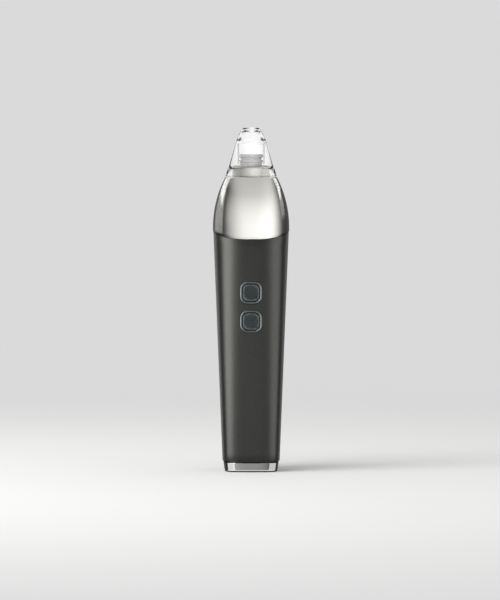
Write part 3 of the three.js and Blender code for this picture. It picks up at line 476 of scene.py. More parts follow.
def body_tube():
    """Tapered body with a stepped well for each button."""
    rows = 30
    rings = []
    for inset, height in ((EDGE_ROUND, BODY_BOTTOM), (EDGE_STEP, BODY_BOTTOM + EDGE_STEP)):
        rings.append(form_ring(inset, lambda u, z=height: z, SQUARE_BASE))
    for i in range(rows + 1):
        def outer_height(u, share=i / rows):
            return between(BODY_BOTTOM + EDGE_ROUND, seam_height(u) - EDGE_ROUND, share)
        rings.append(form_ring(0, outer_height, squareness(outer_height(0))))
    for inset, drop in ((EDGE_STEP, EDGE_STEP), (EDGE_ROUND, 0), (BODY_WALL, 0)):
        rings.append(form_ring(inset, lambda u, fall=drop: seam_height(u) - fall, SQUARE_SEAM))
    inner_rows = 10
    for i in range(1, inner_rows + 1):
        def inner_height(u, share=i / inner_rows):
            return between(seam_height(u), BODY_BOTTOM, share)
        rings.append(form_ring(BODY_WALL, inner_height, squareness(inner_height(0))))
    tube = skin("body_tube", rings)
    outside = 2
    inside = -4
    recess_half = BEZEL_HALF + FIT
    recess_floor = -BEZEL_DEPTH - FIT
    through_half = BUTTON_HALF + FIT
    wells = []
    for offset in BUTTON_OFFSETS.values():
        recess = prism("recess", recess_half, recess_half, BEZEL_CORNER + FIT, recess_floor, outside)
        through = prism("through", through_half, through_half, BUTTON_CORNER + FIT, inside, outside)
        wells += [on_front_face(recess, offset), on_front_face(through, offset)]
    cut(tube, *wells)
    return tube


def button_cap(name):
    """Push button: stem, hidden flange, rounded edge and a shallow round dish for the fingertip."""
    corner = BUTTON_CORNER / BUTTON_HALF
    flange_half = BUTTON_HALF + FLANGE_REACH
    flange_corner = (BUTTON_CORNER + FLANGE_REACH) / flange_half
    rings = []
    for height in (STEM_BOTTOM, FLANGE_BOTTOM):
        rings.append(flat_ring(STEM_RADIUS, height, CIRCLE, FULL_ROUND))
    for height in (FLANGE_BOTTOM, FLANGE_TOP):
        rings.append(flat_ring(flange_half, height, CIRCLE, flange_corner))
    rings.append(flat_ring(BUTTON_HALF, FLANGE_TOP, CIRCLE, corner))
    edge_steps = 5
    for i in range(edge_steps + 1):
        angle = math.pi / 2 * i / edge_steps
        half = BUTTON_HALF - BUTTON_EDGE * (1 - math.cos(angle))
        height = BUTTON_PROUD - BUTTON_EDGE * (1 - math.sin(angle))
        rings.append(flat_ring(half, height, CIRCLE, corner))
    dish_steps = 12
    for i in range(dish_steps):
        radius = DISH_RADIUS * (1 - i / dish_steps)
        depth = DISH_DEPTH * 0.5 * (1 + math.cos(math.pi * radius / DISH_RADIUS))
        rings.append(flat_ring(radius, BUTTON_PROUD - depth, CIRCLE, FULL_ROUND))
    return skin(name, rings, ends="flat")


def bezel_rim(name):
    """Bright rim round a button: a low rounded bead."""
    def ring(half, height):
        corner = BEZEL_CORNER - (BEZEL_HALF - half)
        return flat_ring(half, height, CIRCLE, corner / half)

    middle = BEZEL_HALF - BEZEL_RIM / 2
    steps = 10
    rings = [ring(BEZEL_HALF, -BEZEL_DEPTH)]
    for i in range(steps + 1):
        angle = math.pi * i / steps
        rings.append(ring(middle + BEZEL_RIM / 2 * math.cos(angle), BEZEL_PROUD * math.sin(angle)))
    rings.append(ring(BEZEL_HALF - BEZEL_RIM, -BEZEL_DEPTH))
    return skin(name, rings)


def foot_ring():
    """Mirror-bright ring round the foot, a little rounded at its lower edge."""
    wall_foot = RING_BOTTOM + RING_LOWER_ROUND
    wall_head = RING_TOP - RING_UPPER_ROUND
    outline = [
        (RING_BOTTOM_HALF - 0.45, RING_BOTTOM),
        (RING_BOTTOM_HALF - 0.27, RING_BOTTOM + 0.06),
        (RING_BOTTOM_HALF - 0.12, RING_BOTTOM + 0.22),
        (RING_BOTTOM_HALF - 0.03, RING_BOTTOM + 0.45),
    ]
    for share in (0, 0.04, 0.5, 0.96, 1):
        half = between(RING_BOTTOM_HALF, RING_TOP_HALF, share)
        outline.append((half, between(wall_foot, wall_head, share)))
    outline += [
        (RING_TOP_HALF - 0.05, RING_TOP - 0.05),
        (RING_TOP_HALF - RING_UPPER_ROUND, RING_TOP),
        (RING_BORE_HALF, RING_TOP),
        (RING_BORE_HALF, RING_BOTTOM),
    ]
    return skin("foot_ring", [flat_ring(half, height, SQUARE_BASE) for half, height in outline])


def foot_plate():
    """Dark foot with a charging slot, two stepped screw holes and three vents."""
    outline = [
        (FOOT_HALF - 0.3, 0),
        (FOOT_HALF - 0.09, 0.07),
        (FOOT_HALF, 0.25),
        (FOOT_HALF, FOOT_FLANGE),
        (FOOT_CORE_HALF, FOOT_FLANGE),
        (FOOT_CORE_HALF, FOOT_CORE_TOP),
        (FOOT_CORE_HALF - FOOT_CORE_WALL, FOOT_CORE_TOP),
        (FOOT_CORE_HALF - FOOT_CORE_WALL, FOOT_FLOOR),
    ]
    rings = [flat_ring(half, height, SQUARE_BASE) for half, height in outline]
    plate = skin("foot_plate", rings, ends="flat")
    openings = [prism("slot", *SLOT_HALF, SLOT_CORNER, CUT_BOTTOM, CUT_TOP)]
    for x, y in FOOT_SCREWS.values():
        for radius, top in SCREW_HOLES:
            hole = prism("hole", radius, radius, HOLE_ROUND * radius, CUT_BOTTOM, top)
            openings.append(slide(hole, x, y))
    for x in VENT_PLACES:
        vent = prism("vent", *VENT_HALF, VENT_CORNER, CUT_BOTTOM, CUT_TOP)
        openings.append(slide(vent, x, VENT_LINE))
    cut(plate, *openings)
    return plate


def foot_screw(name):
    """Pan-head screw with a cross recess, seen from below."""
    screw = turn(name, [
        (0, 0.4, 0),
        (1.0, 0.42, 0.3),
        (1.9, 0.75, 0.25),
        (1.9, 1.7, 0.1),
        (0.9, 1.7, 0.1),
        (0.9, 21.4, 0.1),
        (0.5, 22, 0.1),
        (0, 22, 0),
    ])
    slots = []
    for half_x, half_y in ((CROSS_REACH, CROSS_HALF), (CROSS_HALF, CROSS_REACH)):
        slots.append(prism("slot", half_x, half_y, CROSS_CORNER, 0, CROSS_TOP))
    cut(screw, *slots)
    return screw


def socket_shell():
    """Charging socket: a bright metal tube with rounded ends, open downwards."""
    shell = prism("socket_shell", *SOCKET_HALF, SOCKET_CORNER, SOCKET_BOTTOM, SOCKET_TOP)
    depth = (SOCKET_TOP - SOCKET_BOTTOM - SOCKET_END) * MM
    bpy.ops.object.mode_set(mode="EDIT")
    select_points(lambda point: abs(point.co.z - SOCKET_BOTTOM * MM) < DOUBLES)
    bpy.ops.mesh.inset(thickness=SOCKET_WALL * MM)
    bpy.ops.mesh.extrude_region_move(TRANSFORM_OT_translate={"value": (0, 0, depth)})
    close_up()
    return shell


# Finishes

# Sockets of the node that mixes two colours
MIX_SHARE = 0
MIX_FIRST = 6
MIX_SECOND = 7
MIX_COLOUR = 2


def linear(colour):
    """An sRGB hex colour as linear red, green, blue and full alpha."""
    shares = [int(colour[i:i + 2], 16) / 255 for i in (0, 2, 4)]
    return tuple(c / 12.92 if c <= 0.04045 else ((c + 0.055) / 1.055) ** 2.4 for c in shares) + (1.0,)


def per_mm(size):
    """The scale of a pattern on metre coordinates whose grains are so many millimetres across."""
    return 1 / (size * MM)


def new_finish(name):
    finish = bpy.data.materials.new(name)
    finish.use_nodes = True
    finish.node_tree.nodes.clear()
    return finish


def add(owner, kind, inputs=None, **settings):
    """Adds a node with its settings; each input gets a value or another node's output."""
    tree = owner.node_tree
    node = tree.nodes.new(kind)
    for name, value in settings.items():
        setattr(node, name, value)
    for socket, value in (inputs or {}).items():
        if isinstance(value, bpy.types.NodeSocket):
            tree.links.new(value, node.inputs[socket])
        else:
            node.inputs[socket].default_value = value
    return node


def clear_polycarbonate():
    """Injection-moulded and polished: clear, hard, a barely wavy surface, with painted grey shade where
    seen edge on.
    """
    finish = new_finish("clear_moulded_polycarbonate")
    edge_on = add(finish, "ShaderNodeLayerWeight", {"Blend": 0.5}).outputs["Facing"]
    # Painted shade: depth here is how nearly edge on the surface is seen, and the colour turns grey
    # there, standing in for the dark edges that refraction gives.
    depth = add(finish, "ShaderNodeMapRange", {"Value": edge_on, "From Min": 0.7, "From Max": 0.98})
    painted_edge_shade = add(
        finish,
        "ShaderNodeMix",
        {MIX_SHARE: depth.outputs[0], MIX_FIRST: linear("FFFFFF"), MIX_SECOND: linear("BCC0C1")},
        data_type="RGBA",
    )
    place = add(finish, "ShaderNodeTexCoord").outputs["Object"]
    flow = add(finish, "ShaderNodeTexNoise", {"Vector": place, "Scale": per_mm(5), "Detail": 2.0})
    haze = add(finish, "ShaderNodeMapRange", {"Value": flow.outputs[0], "To Min": 0.0, "To Max": 0.03})
    ripple = add(
        finish, "ShaderNodeBump", {"Height": flow.outputs[0], "Strength": 0.06, "Distance": 0.2 * MM}
    )
    surface = add(finish, "ShaderNodeBsdfPrincipled", {
        "Base Color": painted_edge_shade.outputs[MIX_COLOUR],
        "Roughness": haze.outputs[0],
        "IOR": 1.5,
        "Transmission Weight": 1.0,
        "Normal": ripple.outputs[0],
    })
    add(finish, "ShaderNodeOutputMaterial", {"Surface": surface.outputs["BSDF"]})
    return finish


def grey_silicone():
    """Moulded silicone rubber: soft grey with a pink cast, a little light going into it."""
    finish = new_finish("grey_moulded_silicone")
    place = add(finish, "ShaderNodeTexCoord").outputs["Object"]
    cloud = add(finish, "ShaderNodeTexNoise", {"Vector": place, "Scale": per_mm(3), "Detail": 3.0})
    colour = add(
        finish,
        "ShaderNodeMix",
        {MIX_SHARE: cloud.outputs[0], MIX_FIRST: linear("B3AEAF"), MIX_SECOND: linear("C3BEBF")},
        data_type="RGBA",
    )
    # The mould's real grain is near 0.05 mm; it is drawn at 0.25 mm, so that it just shows.
    grain = add(finish, "ShaderNodeTexNoise", {"Vector": place, "Scale": per_mm(0.25), "Detail": 2.0})
    skin_bump = add(
        finish, "ShaderNodeBump", {"Height": grain.outputs[0], "Strength": 0.15, "Distance": 0.03 * MM}
    )
    surface = add(finish, "ShaderNodeBsdfPrincipled", {
        "Base Color": colour.outputs[MIX_COLOUR],
        "Roughness": 0.42,
        "IOR": 1.41,
        "Subsurface Weight": 0.15,
        "Subsurface Radius": (0.8 * MM, 0.7 * MM, 0.7 * MM),
        "Subsurface Scale": 1.0,
        "Normal": skin_bump.outputs[0],
    })
    add(finish, "ShaderNodeOutputMaterial", {"Surface": surface.outputs["BSDF"]})
    return finish


def satin_plating(name, dark, light, roughness, turned_lines):
    """Satin nickel plating: a bright metal whose fine blasted grain spreads each reflection.
    The turned collar also has fine lathe lines round it."""
    finish = new_finish(name)
    place = add(finish, "ShaderNodeTexCoord").outputs["Object"]
    # The real grain is near 0.03 mm; it is drawn at 0.12 mm, so that it just shows.
    grain = add(finish, "ShaderNodeTexNoise", {"Vector": place, "Scale": per_mm(0.12), "Detail": 2.0})
    height = grain.outputs[0]
    if turned_lines:
        # Real lathe lines are near 0.1 mm apart; they are drawn at 0.45 mm, so that they just show.
        along = add(finish, "ShaderNodeMapping", {"Vector": place, "Scale": (0.02, 0.02, 1.0)})
        lines = add(
            finish,
            "ShaderNodeTexNoise",
            {"Vector": along.outputs[0], "Scale": per_mm(0.45), "Detail": 2.0},
        )
        height = lines.outputs[0]
    cloud = add(finish, "ShaderNodeTexNoise", {"Vector": place, "Scale": per_mm(14), "Detail": 2.0})
    colour = add(
        finish,
        "ShaderNodeMix",
        {MIX_SHARE: cloud.outputs[0], MIX_FIRST: linear(dark), MIX_SECOND: linear(light)},
        data_type="RGBA",
    )
    gloss = add(
        finish,
        "ShaderNodeMapRange",
        {"Value": grain.outputs[0], "To Min": roughness - 0.04, "To Max": roughness + 0.04},
    )
    relief = add(finish, "ShaderNodeBump", {"Height": height, "Strength": 0.12, "Distance": 0.01 * MM})
    surface = add(finish, "ShaderNodeBsdfPrincipled", {
        "Base Color": colour.outputs[MIX_COLOUR],
        "Metallic": 1.0,
        "Roughness": gloss.outputs[0],
        "Normal": relief.outputs[0],
    })
    add(finish, "ShaderNodeOutputMaterial", {"Surface": surface.outputs["BSDF"]})
    return finish


def gunmetal_lacquer():
    """Metallic lacquer sprayed on moulded ABS: dark and silky, with a very fine sparkle."""
    finish = new_finish("gunmetal_metallic_lacquer")
    place = add(finish, "ShaderNodeTexCoord").outputs["Object"]
    # The real flakes are near 0.04 mm; they are drawn at 0.2 mm, so that they just show.
    flake = add(finish, "ShaderNodeTexVoronoi", {"Vector": place, "Scale": per_mm(0.2)})
    tone = add(finish, "ShaderNodeSeparateColor", {"Color": flake.outputs["Color"]})
    colour = add(
        finish,
        "ShaderNodeMix",
        {MIX_SHARE: tone.outputs[0], MIX_FIRST: linear("424240"), MIX_SECOND: linear("4E4E4C")},
        data_type="RGBA",
    )
    cloud = add(finish, "ShaderNodeTexNoise", {"Vector": place, "Scale": per_mm(9), "Detail": 3.0})
    gloss = add(
        finish, "ShaderNodeMapRange", {"Value": cloud.outputs[0], "To Min": 0.38, "To Max": 0.46}
    )
    relief = add(
        finish, "ShaderNodeBump", {"Height": tone.outputs[0], "Strength": 0.08, "Distance": 0.02 * MM}
    )
    surface = add(finish, "ShaderNodeBsdfPrincipled", {
        "Base Color": colour.outputs[MIX_COLOUR],
        "Metallic": 1.0,
        "Roughness": gloss.outputs[0],
        "Normal": relief.outputs[0],
    })
    add(finish, "ShaderNodeOutputMaterial", {"Surface": surface.outputs["BSDF"]})
    return finish


def button_lacquer():
    """Satin lacquer on the moulded buttons: dark and soft, a little cooler than the body."""
    finish = new_finish("button_satin_lacquer")
    place = add(finish, "ShaderNodeTexCoord").outputs["Object"]
    # The lacquer's real grain is near 0.02 mm; it is drawn at 0.2 mm, so that it just shows.
    grain = add(finish, "ShaderNodeTexNoise", {"Vector": place, "Scale": per_mm(0.2), "Detail": 2.0})
    colour = add(
        finish,
        "ShaderNodeMix",
        {MIX_SHARE: grain.outputs[0], MIX_FIRST: linear("2C3233"), MIX_SECOND: linear("363C3D")},
        data_type="RGBA",
    )
    gloss = add(
        finish, "ShaderNodeMapRange", {"Value": grain.outputs[0], "To Min": 0.32, "To Max": 0.4}
    )
    relief = add(
        finish, "ShaderNodeBump", {"Height": grain.outputs[0], "Strength": 0.08, "Distance": 0.02 * MM}
    )
    surface = add(finish, "ShaderNodeBsdfPrincipled", {
        "Base Color": colour.outputs[MIX_COLOUR],
        "Roughness": gloss.outputs[0],
        "IOR": 1.5,
        "Normal": relief.outputs[0],
    })
    add(finish, "ShaderNodeOutputMaterial", {"Surface": surface.outputs["BSDF"]})
    return finish


def chrome_plating(name, dark, light, roughness):
    """Chrome plating over ABS: a clean mirror over polished plastic, silky over blasted plastic."""
    finish = new_finish(name)
    place = add(finish, "ShaderNodeTexCoord").outputs["Object"]
    cloud = add(finish, "ShaderNodeTexNoise", {"Vector": place, "Scale": per_mm(4), "Detail": 3.0})
    colour = add(
        finish,
        "ShaderNodeMix",
        {MIX_SHARE: cloud.outputs[0], MIX_FIRST: linear(dark), MIX_SECOND: linear(light)},
        data_type="RGBA",
    )
    gloss = add(
        finish,
        "ShaderNodeMapRange",
        {"Value": cloud.outputs[0], "To Min": roughness - 0.03, "To Max": roughness + 0.03},
    )
    surface = add(finish, "ShaderNodeBsdfPrincipled", {
        "Base Color": colour.outputs[MIX_COLOUR],
        "Metallic": 1.0,
        "Roughness": gloss.outputs[0],
    })
    add(finish, "ShaderNodeOutputMaterial", {"Surface": surface.outputs["BSDF"]})
    return finish


def moulded_plastic(name, dark, light, roughness, grain_mm):
    """Moulded plastic or rubber: an even colour and a faint grain of a given size."""
    finish = new_finish(name)
    place = add(finish, "ShaderNodeTexCoord").outputs["Object"]
    # The real grain is near 0.1 mm; each finish draws it coarser, so that it just shows.
    grain = add(
        finish, "ShaderNodeTexNoise", {"Vector": place, "Scale": per_mm(grain_mm), "Detail": 3.0}
    )
    colour = add(
        finish,
        "ShaderNodeMix",
        {MIX_SHARE: grain.outputs[0], MIX_FIRST: linear(dark), MIX_SECOND: linear(light)},
        data_type="RGBA",
    )
    gloss = add(
        finish,
        "ShaderNodeMapRange",
        {"Value": grain.outputs[0], "To Min": roughness - 0.06, "To Max": roughness + 0.06},
    )
    relief = add(
        finish, "ShaderNodeBump", {"Height": grain.outputs[0], "Strength": 0.2, "Distance": 0.03 * MM}
    )
    surface = add(finish, "ShaderNodeBsdfPrincipled", {
        "Base Color": colour.outputs[MIX_COLOUR],
        "Roughness": gloss.outputs[0],
        "IOR": 1.53,
        "Normal": relief.outputs[0],
    })
    add(finish, "ShaderNodeOutputMaterial", {"Surface": surface.outputs["BSDF"]})
    return finish


def plain_metal(name, dark, light, roughness, scratch_mm):
    """Drawn or turned metal: a soft shine with fine upright scratches."""
    finish = new_finish(name)
    place = add(finish, "ShaderNodeTexCoord").outputs["Object"]
    # Real scratches are near 0.03 mm wide; they are drawn wider, so that they just show.
    along = add(finish, "ShaderNodeMapping", {"Vector": place, "Scale": (1.0, 1.0, 0.1)})
    scratch = add(
        finish,
        "ShaderNodeTexNoise",
        {"Vector": along.outputs[0], "Scale": per_mm(scratch_mm), "Detail": 3.0},
    )
    colour = add(
        finish,
        "ShaderNodeMix",
        {MIX_SHARE: scratch.outputs[0], MIX_FIRST: linear(dark), MIX_SECOND: linear(light)},
        data_type="RGBA",
    )
    gloss = add(
        finish,
        "ShaderNodeMapRange",
        {"Value": scratch.outputs[0], "To Min": roughness - 0.07, "To Max": roughness + 0.07},
    )
    surface = add(finish, "ShaderNodeBsdfPrincipled", {
        "Base Color": colour.outputs[MIX_COLOUR],
        "Metallic": 1.0,
        "Roughness": gloss.outputs[0],
    })
    add(finish, "ShaderNodeOutputMaterial", {"Surface": surface.outputs["BSDF"]})
    return finish


def filter_foam():
    """White open-cell foam, full of small pores, with painted shade in them."""
    finish = new_finish("white_open_cell_foam")
    place = add(finish, "ShaderNodeTexCoord").outputs["Object"]
    pores = add(finish, "ShaderNodeTexVoronoi", {"Vector": place, "Scale": per_mm(0.5)})
    # Painted shade: the colour is darker where the pores sink in, in the same pits that the bump draws.
    colour = add(
        finish,
        "ShaderNodeMix",
        {MIX_SHARE: pores.outputs[0], MIX_FIRST: linear("DEDCD4"), MIX_SECOND: linear("F6F5F0")},
        data_type="RGBA",
    )
    relief = add(
        finish, "ShaderNodeBump", {"Height": pores.outputs[0], "Strength": 0.7, "Distance": 0.25 * MM}
    )
    surface = add(finish, "ShaderNodeBsdfPrincipled", {
        "Base Color": colour.outputs[MIX_COLOUR],
        "Roughness": 0.95,
        "Normal": relief.outputs[0],
    })
    add(finish, "ShaderNodeOutputMaterial", {"Surface": surface.outputs["BSDF"]})
    return finish


def circuit_board():
    """Glass-fibre board under green solder mask: the weave shows faintly through the lacquer."""
    finish = new_finish("green_glass_fibre_board")
    place = add(finish, "ShaderNodeTexCoord").outputs["Object"]
    weave = add(finish, "ShaderNodeTexChecker", {"Vector": place, "Scale": per_mm(0.5)})
    colour = add(
        finish,
        "ShaderNodeMix",
        {MIX_SHARE: weave.outputs[1], MIX_FIRST: linear("1C5237"), MIX_SECOND: linear("246645")},
        data_type="RGBA",
    )
    surface = add(finish, "ShaderNodeBsdfPrincipled", {
        "Base Color": colour.outputs[MIX_COLOUR],
        "Roughness": 0.38,
        "IOR": 1.55,
    })
    add(finish, "ShaderNodeOutputMaterial", {"Surface": surface.outputs["BSDF"]})
    return finish


FINISH_OF = {
    "clear_tip": clear_polycarbonate(),
    "grey_silicone": grey_silicone(),
    "white_sponge": filter_foam(),
    "satin_silver": satin_plating("satin_nickel_plating", "CDCBC6", "D3D2CD", 0.17, False),
    "gunmetal_shell": gunmetal_lacquer(),
    "button_grey": button_lacquer(),
    "bright_chrome": chrome_plating("bright_chrome_plating", "D6D7D6", "DEDFDE", 0.07),
    "dark_plastic": moulded_plastic("dark_moulded_abs", "1A1A19", "232322", 0.5, 0.35),
    "black_plastic": moulded_plastic("black_moulded_nylon", "161617", "1F1F20", 0.5, 0.5),
    "white_plastic": moulded_plastic("white_moulded_acetal", "DDDCD6", "E8E7E2", 0.45, 0.6),
    "steel": plain_metal("nickel_plated_steel", "A3A7AA", "B4B8BA", 0.28, 0.2),
    "brass": plain_metal("turned_brass", "B8985C", "CBAC6E", 0.3, 0.2),
    "magnet": moulded_plastic("bonded_ferrite", "3E3E40", "535356", 0.7, 0.3),
    "black_rubber": moulded_plastic("black_nitrile_rubber", "222222", "2E2E2E", 0.8, 0.8),
    "pale_silicone": moulded_plastic("pale_silicone_rubber", "E2DED5", "EDEAE2", 0.45, 1.2),
    "circuit_board": circuit_board(),
    "battery_wrap": moulded_plastic("blue_shrink_film", "2A669B", "3375AD", 0.35, 2.5),
    "red_wire": moulded_plastic("red_wire_insulation", "A51F25", "B92A30", 0.45, 0.6),
    "black_wire": moulded_plastic("black_wire_insulation", "181818", "222222", 0.45, 0.6),
}
# The rims are the same bright chrome as the foot ring with a satin roughness; their darker colour is
# painted shade.
SHADED_RIM_FINISH = chrome_plating("satin_chrome_painted_shade", "6A7070", "767C7C", 0.36)
# The collar is the head's satin silver with fine lathe lines; its darker colour is painted shade.
SHADED_COLLAR_FINISH = satin_plating("satin_turned_collar_painted_shade", "989692", "A09E99", 0.42, True)

# The pieces of the source that stay as they are, by finish
KEPT_NODES = {
    "white_sponge": ["filter_sponge"],
    "black_plastic": [
        "power_switch_plunger", "level_switch_plunger", "power_switch_body", "level_switch_body",
        "motor_end_bell", "pump_case", "valve_plate", "pump_cover", "usb_tongue",
    ],
    "white_plastic": ["frame_front", "frame_rear", "wobble_plate"],
    "steel": [
        "board_screw_upper", "board_screw_lower", "motor_can", "motor_armature", "motor_shaft",
        "drive_pin", "battery_tab_top", "battery_tab_bottom",
        "frame_screw_1", "frame_screw_2", "frame_screw_3", "frame_screw_4",
        "pump_screw_1", "pump_screw_2", "pump_screw_3",
    ],
    "brass": ["motor_bush_upper", "motor_bush_lower", "drive_eccentric"],
    "magnet": ["motor_magnet_left", "motor_magnet_right"],
    "black_rubber": ["pump_mount_ring"],
    "pale_silicone": ["pump_diaphragm", "valve_flap", "inlet_hose"],
    "circuit_board": ["control_board", "charge_board"],
    "battery_wrap": ["battery_cell"],
    "red_wire": ["motor_lead_red", "battery_lead_red", "charge_lead"],
    "black_wire": ["motor_lead_black", "battery_lead_black"],
}


def dress(piece, slot, body, node, finish=None):
    """Gives a new piece its finish and its body, and lets it stand for a piece of the source."""
    piece.data.materials.clear()
    piece.data.materials.append(finish or FINISH_OF[slot])
    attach(piece, body)
    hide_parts(node)


def build_pieces():
    dress(tip_moulding(), "clear_tip", "tip", "suction_tip")
    dress(seal_moulding(), "grey_silicone", "housing", "nozzle_seal")
    dress(collar_turning(), "satin_silver", "housing", "neck_collar", SHADED_COLLAR_FINISH)
    dress(spigot_moulding(), "white_plastic", "housing", "inlet_spigot")
    dress(head_shell(), "satin_silver", "housing", "head_cover")
    dress(body_tube(), "gunmetal_shell", "housing", "body_shell")
    power_cap = button_cap("power_button_cap")
    power_rim = bezel_rim("power_button_rim")
    caps = {"power": power_cap, "level": copy_of(power_cap, "level_button_cap")}
    rims = {"power": power_rim, "level": copy_of(power_rim, "level_button_rim")}
    for label, offset in BUTTON_OFFSETS.items():
        cap = on_front_face(caps[label], offset)
        dress(cap, "button_grey", label + "_key", label + "_button")
        rim = on_front_face(rims[label], offset)
        dress(rim, "bright_chrome", "housing", label + "_button_bezel", SHADED_RIM_FINISH)
    dress(foot_ring(), "bright_chrome", "housing", "base_ring")
    dress(foot_plate(), "dark_plastic", "housing", "base_plate")
    dress(socket_shell(), "steel", "housing", "usb_socket")
    left_screw = foot_screw("foot_screw_left")
    screws = {"left": left_screw, "right": copy_of(left_screw, "foot_screw_right")}
    for side, (x, y) in FOOT_SCREWS.items():
        dress(slide(screws[side], x, y), "steel", "housing", "base_screw_" + side)
    for slot, nodes in KEPT_NODES.items():
        for node in nodes:
            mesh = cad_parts[node].data
            mesh.materials.clear()
            mesh.materials.append(FINISH_OF[slot])


# Floor, light and camera

FLOOR_RADIUS = 1.6
FADE_START = 0.15
FADE_END = 0.8


def pale_floor():
    """A wide pale disc that fades into the backdrop."""
    bpy.ops.object.select_all(action="DESELECT")
    bpy.ops.mesh.primitive_circle_add(vertices=96, radius=FLOOR_RADIUS, fill_type="NGON")
    floor = bpy.context.object
    floor.name = "floor"
    bpy.ops.object.mode_set(mode="EDIT")
    bpy.ops.mesh.inset(thickness=FLOOR_RADIUS - FADE_END)
    bpy.ops.object.mode_set(mode="OBJECT")
    finish = new_finish("pale_matt_floor")
    place = add(finish, "ShaderNodeTexCoord").outputs["Object"]
    distance = add(finish, "ShaderNodeVectorMath", {0: place}, operation="LENGTH").outputs["Value"]
    fade = add(
        finish,
        "ShaderNodeMapRange",
        {"Value": distance, "From Min": FADE_START, "From Max": FADE_END},
        interpolation_type="SMOOTHSTEP",
    )
    paint = add(finish, "ShaderNodeBsdfDiffuse", {"Color": linear("F6F6F5")})
    clear = add(finish, "ShaderNodeBsdfTransparent")
    mixed = add(
        finish, "ShaderNodeMixShader", {0: fade.outputs[0], 1: paint.outputs[0], 2: clear.outputs[0]}
    )
    add(finish, "ShaderNodeOutputMaterial", {"Surface": mixed.outputs[0]})
    floor.data.materials.append(finish)
    floor.visible_glossy = False
    floor.visible_transmission = False


def light_only(lamp, pieces, state="INCLUDE"):
    """Lets a lamp light some pieces alone, or all but these; the tip and the floor don't shade them."""
    group = bpy.data.collections.new(lamp.name + "_lit")
    for piece in pieces:
        group.objects.link(bpy.data.objects[piece])
    for member in group.collection_objects:
        member.light_linking.link_state = state
    lamp.light_linking.receiver_collection = group
    shades = bpy.data.collections.new(lamp.name + "_shades")
    for piece in ("tip_moulding", "floor"):
        shades.objects.link(bpy.data.objects[piece])
    for member in shades.collection_objects:
        member.light_linking.link_state = "EXCLUDE"
    lamp.light_linking.blocker_collection = shades


def direction(azimuth, elevation):
    """The way to a lamp. Azimuth 0 is the camera's side, positive to the right."""
    side, rise = math.radians(azimuth), math.radians(elevation)
    return Vector((math.sin(side) * math.cos(rise), -math.cos(side) * math.cos(rise), math.sin(rise)))


def softbox(name, aim_height, azimuth, elevation, distance, width, height, brightness):
    """A soft lamp aimed at the middle line; a brightness of 1 shows as white in a mirror."""
    lamp = bpy.data.lights.new(name, "AREA")
    lamp.shape = "RECTANGLE"
    lamp.size = width
    lamp.size_y = height
    lamp.energy = brightness * math.pi * width * height
    holder = bpy.data.objects.new(name, lamp)
    bpy.context.scene.collection.objects.link(holder)
    way = direction(azimuth, elevation)
    holder.location = Vector((0, 0, aim_height)) + way * distance
    holder.rotation_euler = (-way).to_track_quat("-Z", "Y").to_euler()
    holder.visible_camera = False
    return holder


def grade_across(holder, first, last):
    """Grades a lamp's brightness from one upright edge to the other."""
    lamp = holder.data
    lamp.use_nodes = True
    lamp.node_tree.nodes.clear()
    place = add(lamp, "ShaderNodeNewGeometry").outputs["Parametric"]
    across = add(lamp, "ShaderNodeSeparateXYZ", {0: place})
    level = add(
        lamp, "ShaderNodeMapRange", {"Value": across.outputs["X"], "To Min": first, "To Max": last}
    )
    glow = add(lamp, "ShaderNodeEmission", {"Strength": level.outputs[0]})
    add(lamp, "ShaderNodeOutputLight", {"Surface": glow.outputs[0]})


TENT_RADIUS = 0.5
TENT_HEIGHT = 0.145
# Azimuth and elevation in degrees, power of the falling off, and brightness
TENT_GLOWS = ((20.5, -4, 2.5, 1.76), (-42, 6, 18, 0.28))


def light_tent():
    """A dome of soft light round the head: a broad glow on the front right, a small one on the left."""
    bpy.ops.object.select_all(action="DESELECT")
    bpy.ops.mesh.primitive_uv_sphere_add(segments=48, ring_count=24, radius=TENT_RADIUS)
    tent = bpy.context.object
    tent.name = "light_tent"
    bpy.ops.object.mode_set(mode="EDIT")
    bpy.ops.mesh.flip_normals()
    bpy.ops.object.mode_set(mode="OBJECT")
    bpy.ops.object.shade_smooth()
    finish = new_finish("tent_glow")
    place = add(finish, "ShaderNodeTexCoord").outputs["Object"]
    way = add(finish, "ShaderNodeVectorMath", {0: place}, operation="NORMALIZE")
    level = 0.0
    for azimuth, elevation, power, brightness in TENT_GLOWS:
        facing = add(
            finish,
            "ShaderNodeVectorMath",
            {0: way.outputs[0], 1: direction(azimuth, elevation)},
            operation="DOT_PRODUCT",
        )
        lit = add(finish, "ShaderNodeMath", {0: facing.outputs["Value"], 1: 0.0}, operation="MAXIMUM")
        fall = add(finish, "ShaderNodeMath", {0: lit.outputs[0], 1: power}, operation="POWER")
        summed = {0: fall.outputs[0], 1: brightness, 2: level}
        level = add(finish, "ShaderNodeMath", summed, operation="MULTIPLY_ADD").outputs[0]
    glow = add(finish, "ShaderNodeEmission", {"Strength": level})
    clear = add(finish, "ShaderNodeBsdfTransparent")
    both = add(finish, "ShaderNodeAddShader", {0: glow.outputs[0], 1: clear.outputs[0]})
    add(finish, "ShaderNodeOutputMaterial", {"Surface": both.outputs[0]})
    tent.data.materials.append(finish)
    tent.location = (0, 0, TENT_HEIGHT)
    tent.visible_camera = False
    tent.visible_transmission = False
    tent.visible_shadow = False
    return tent


LOW_PIECES = [
    "body_tube", "foot_plate",
    "power_button_cap", "level_button_cap", "power_button_rim", "level_button_rim",
]
SILVER_PIECES = ["head_shell", "collar_turning"]
SEAL_PIECES = ["seal_moulding", "filter_sponge"]
FOOT_RING = ["foot_ring"]

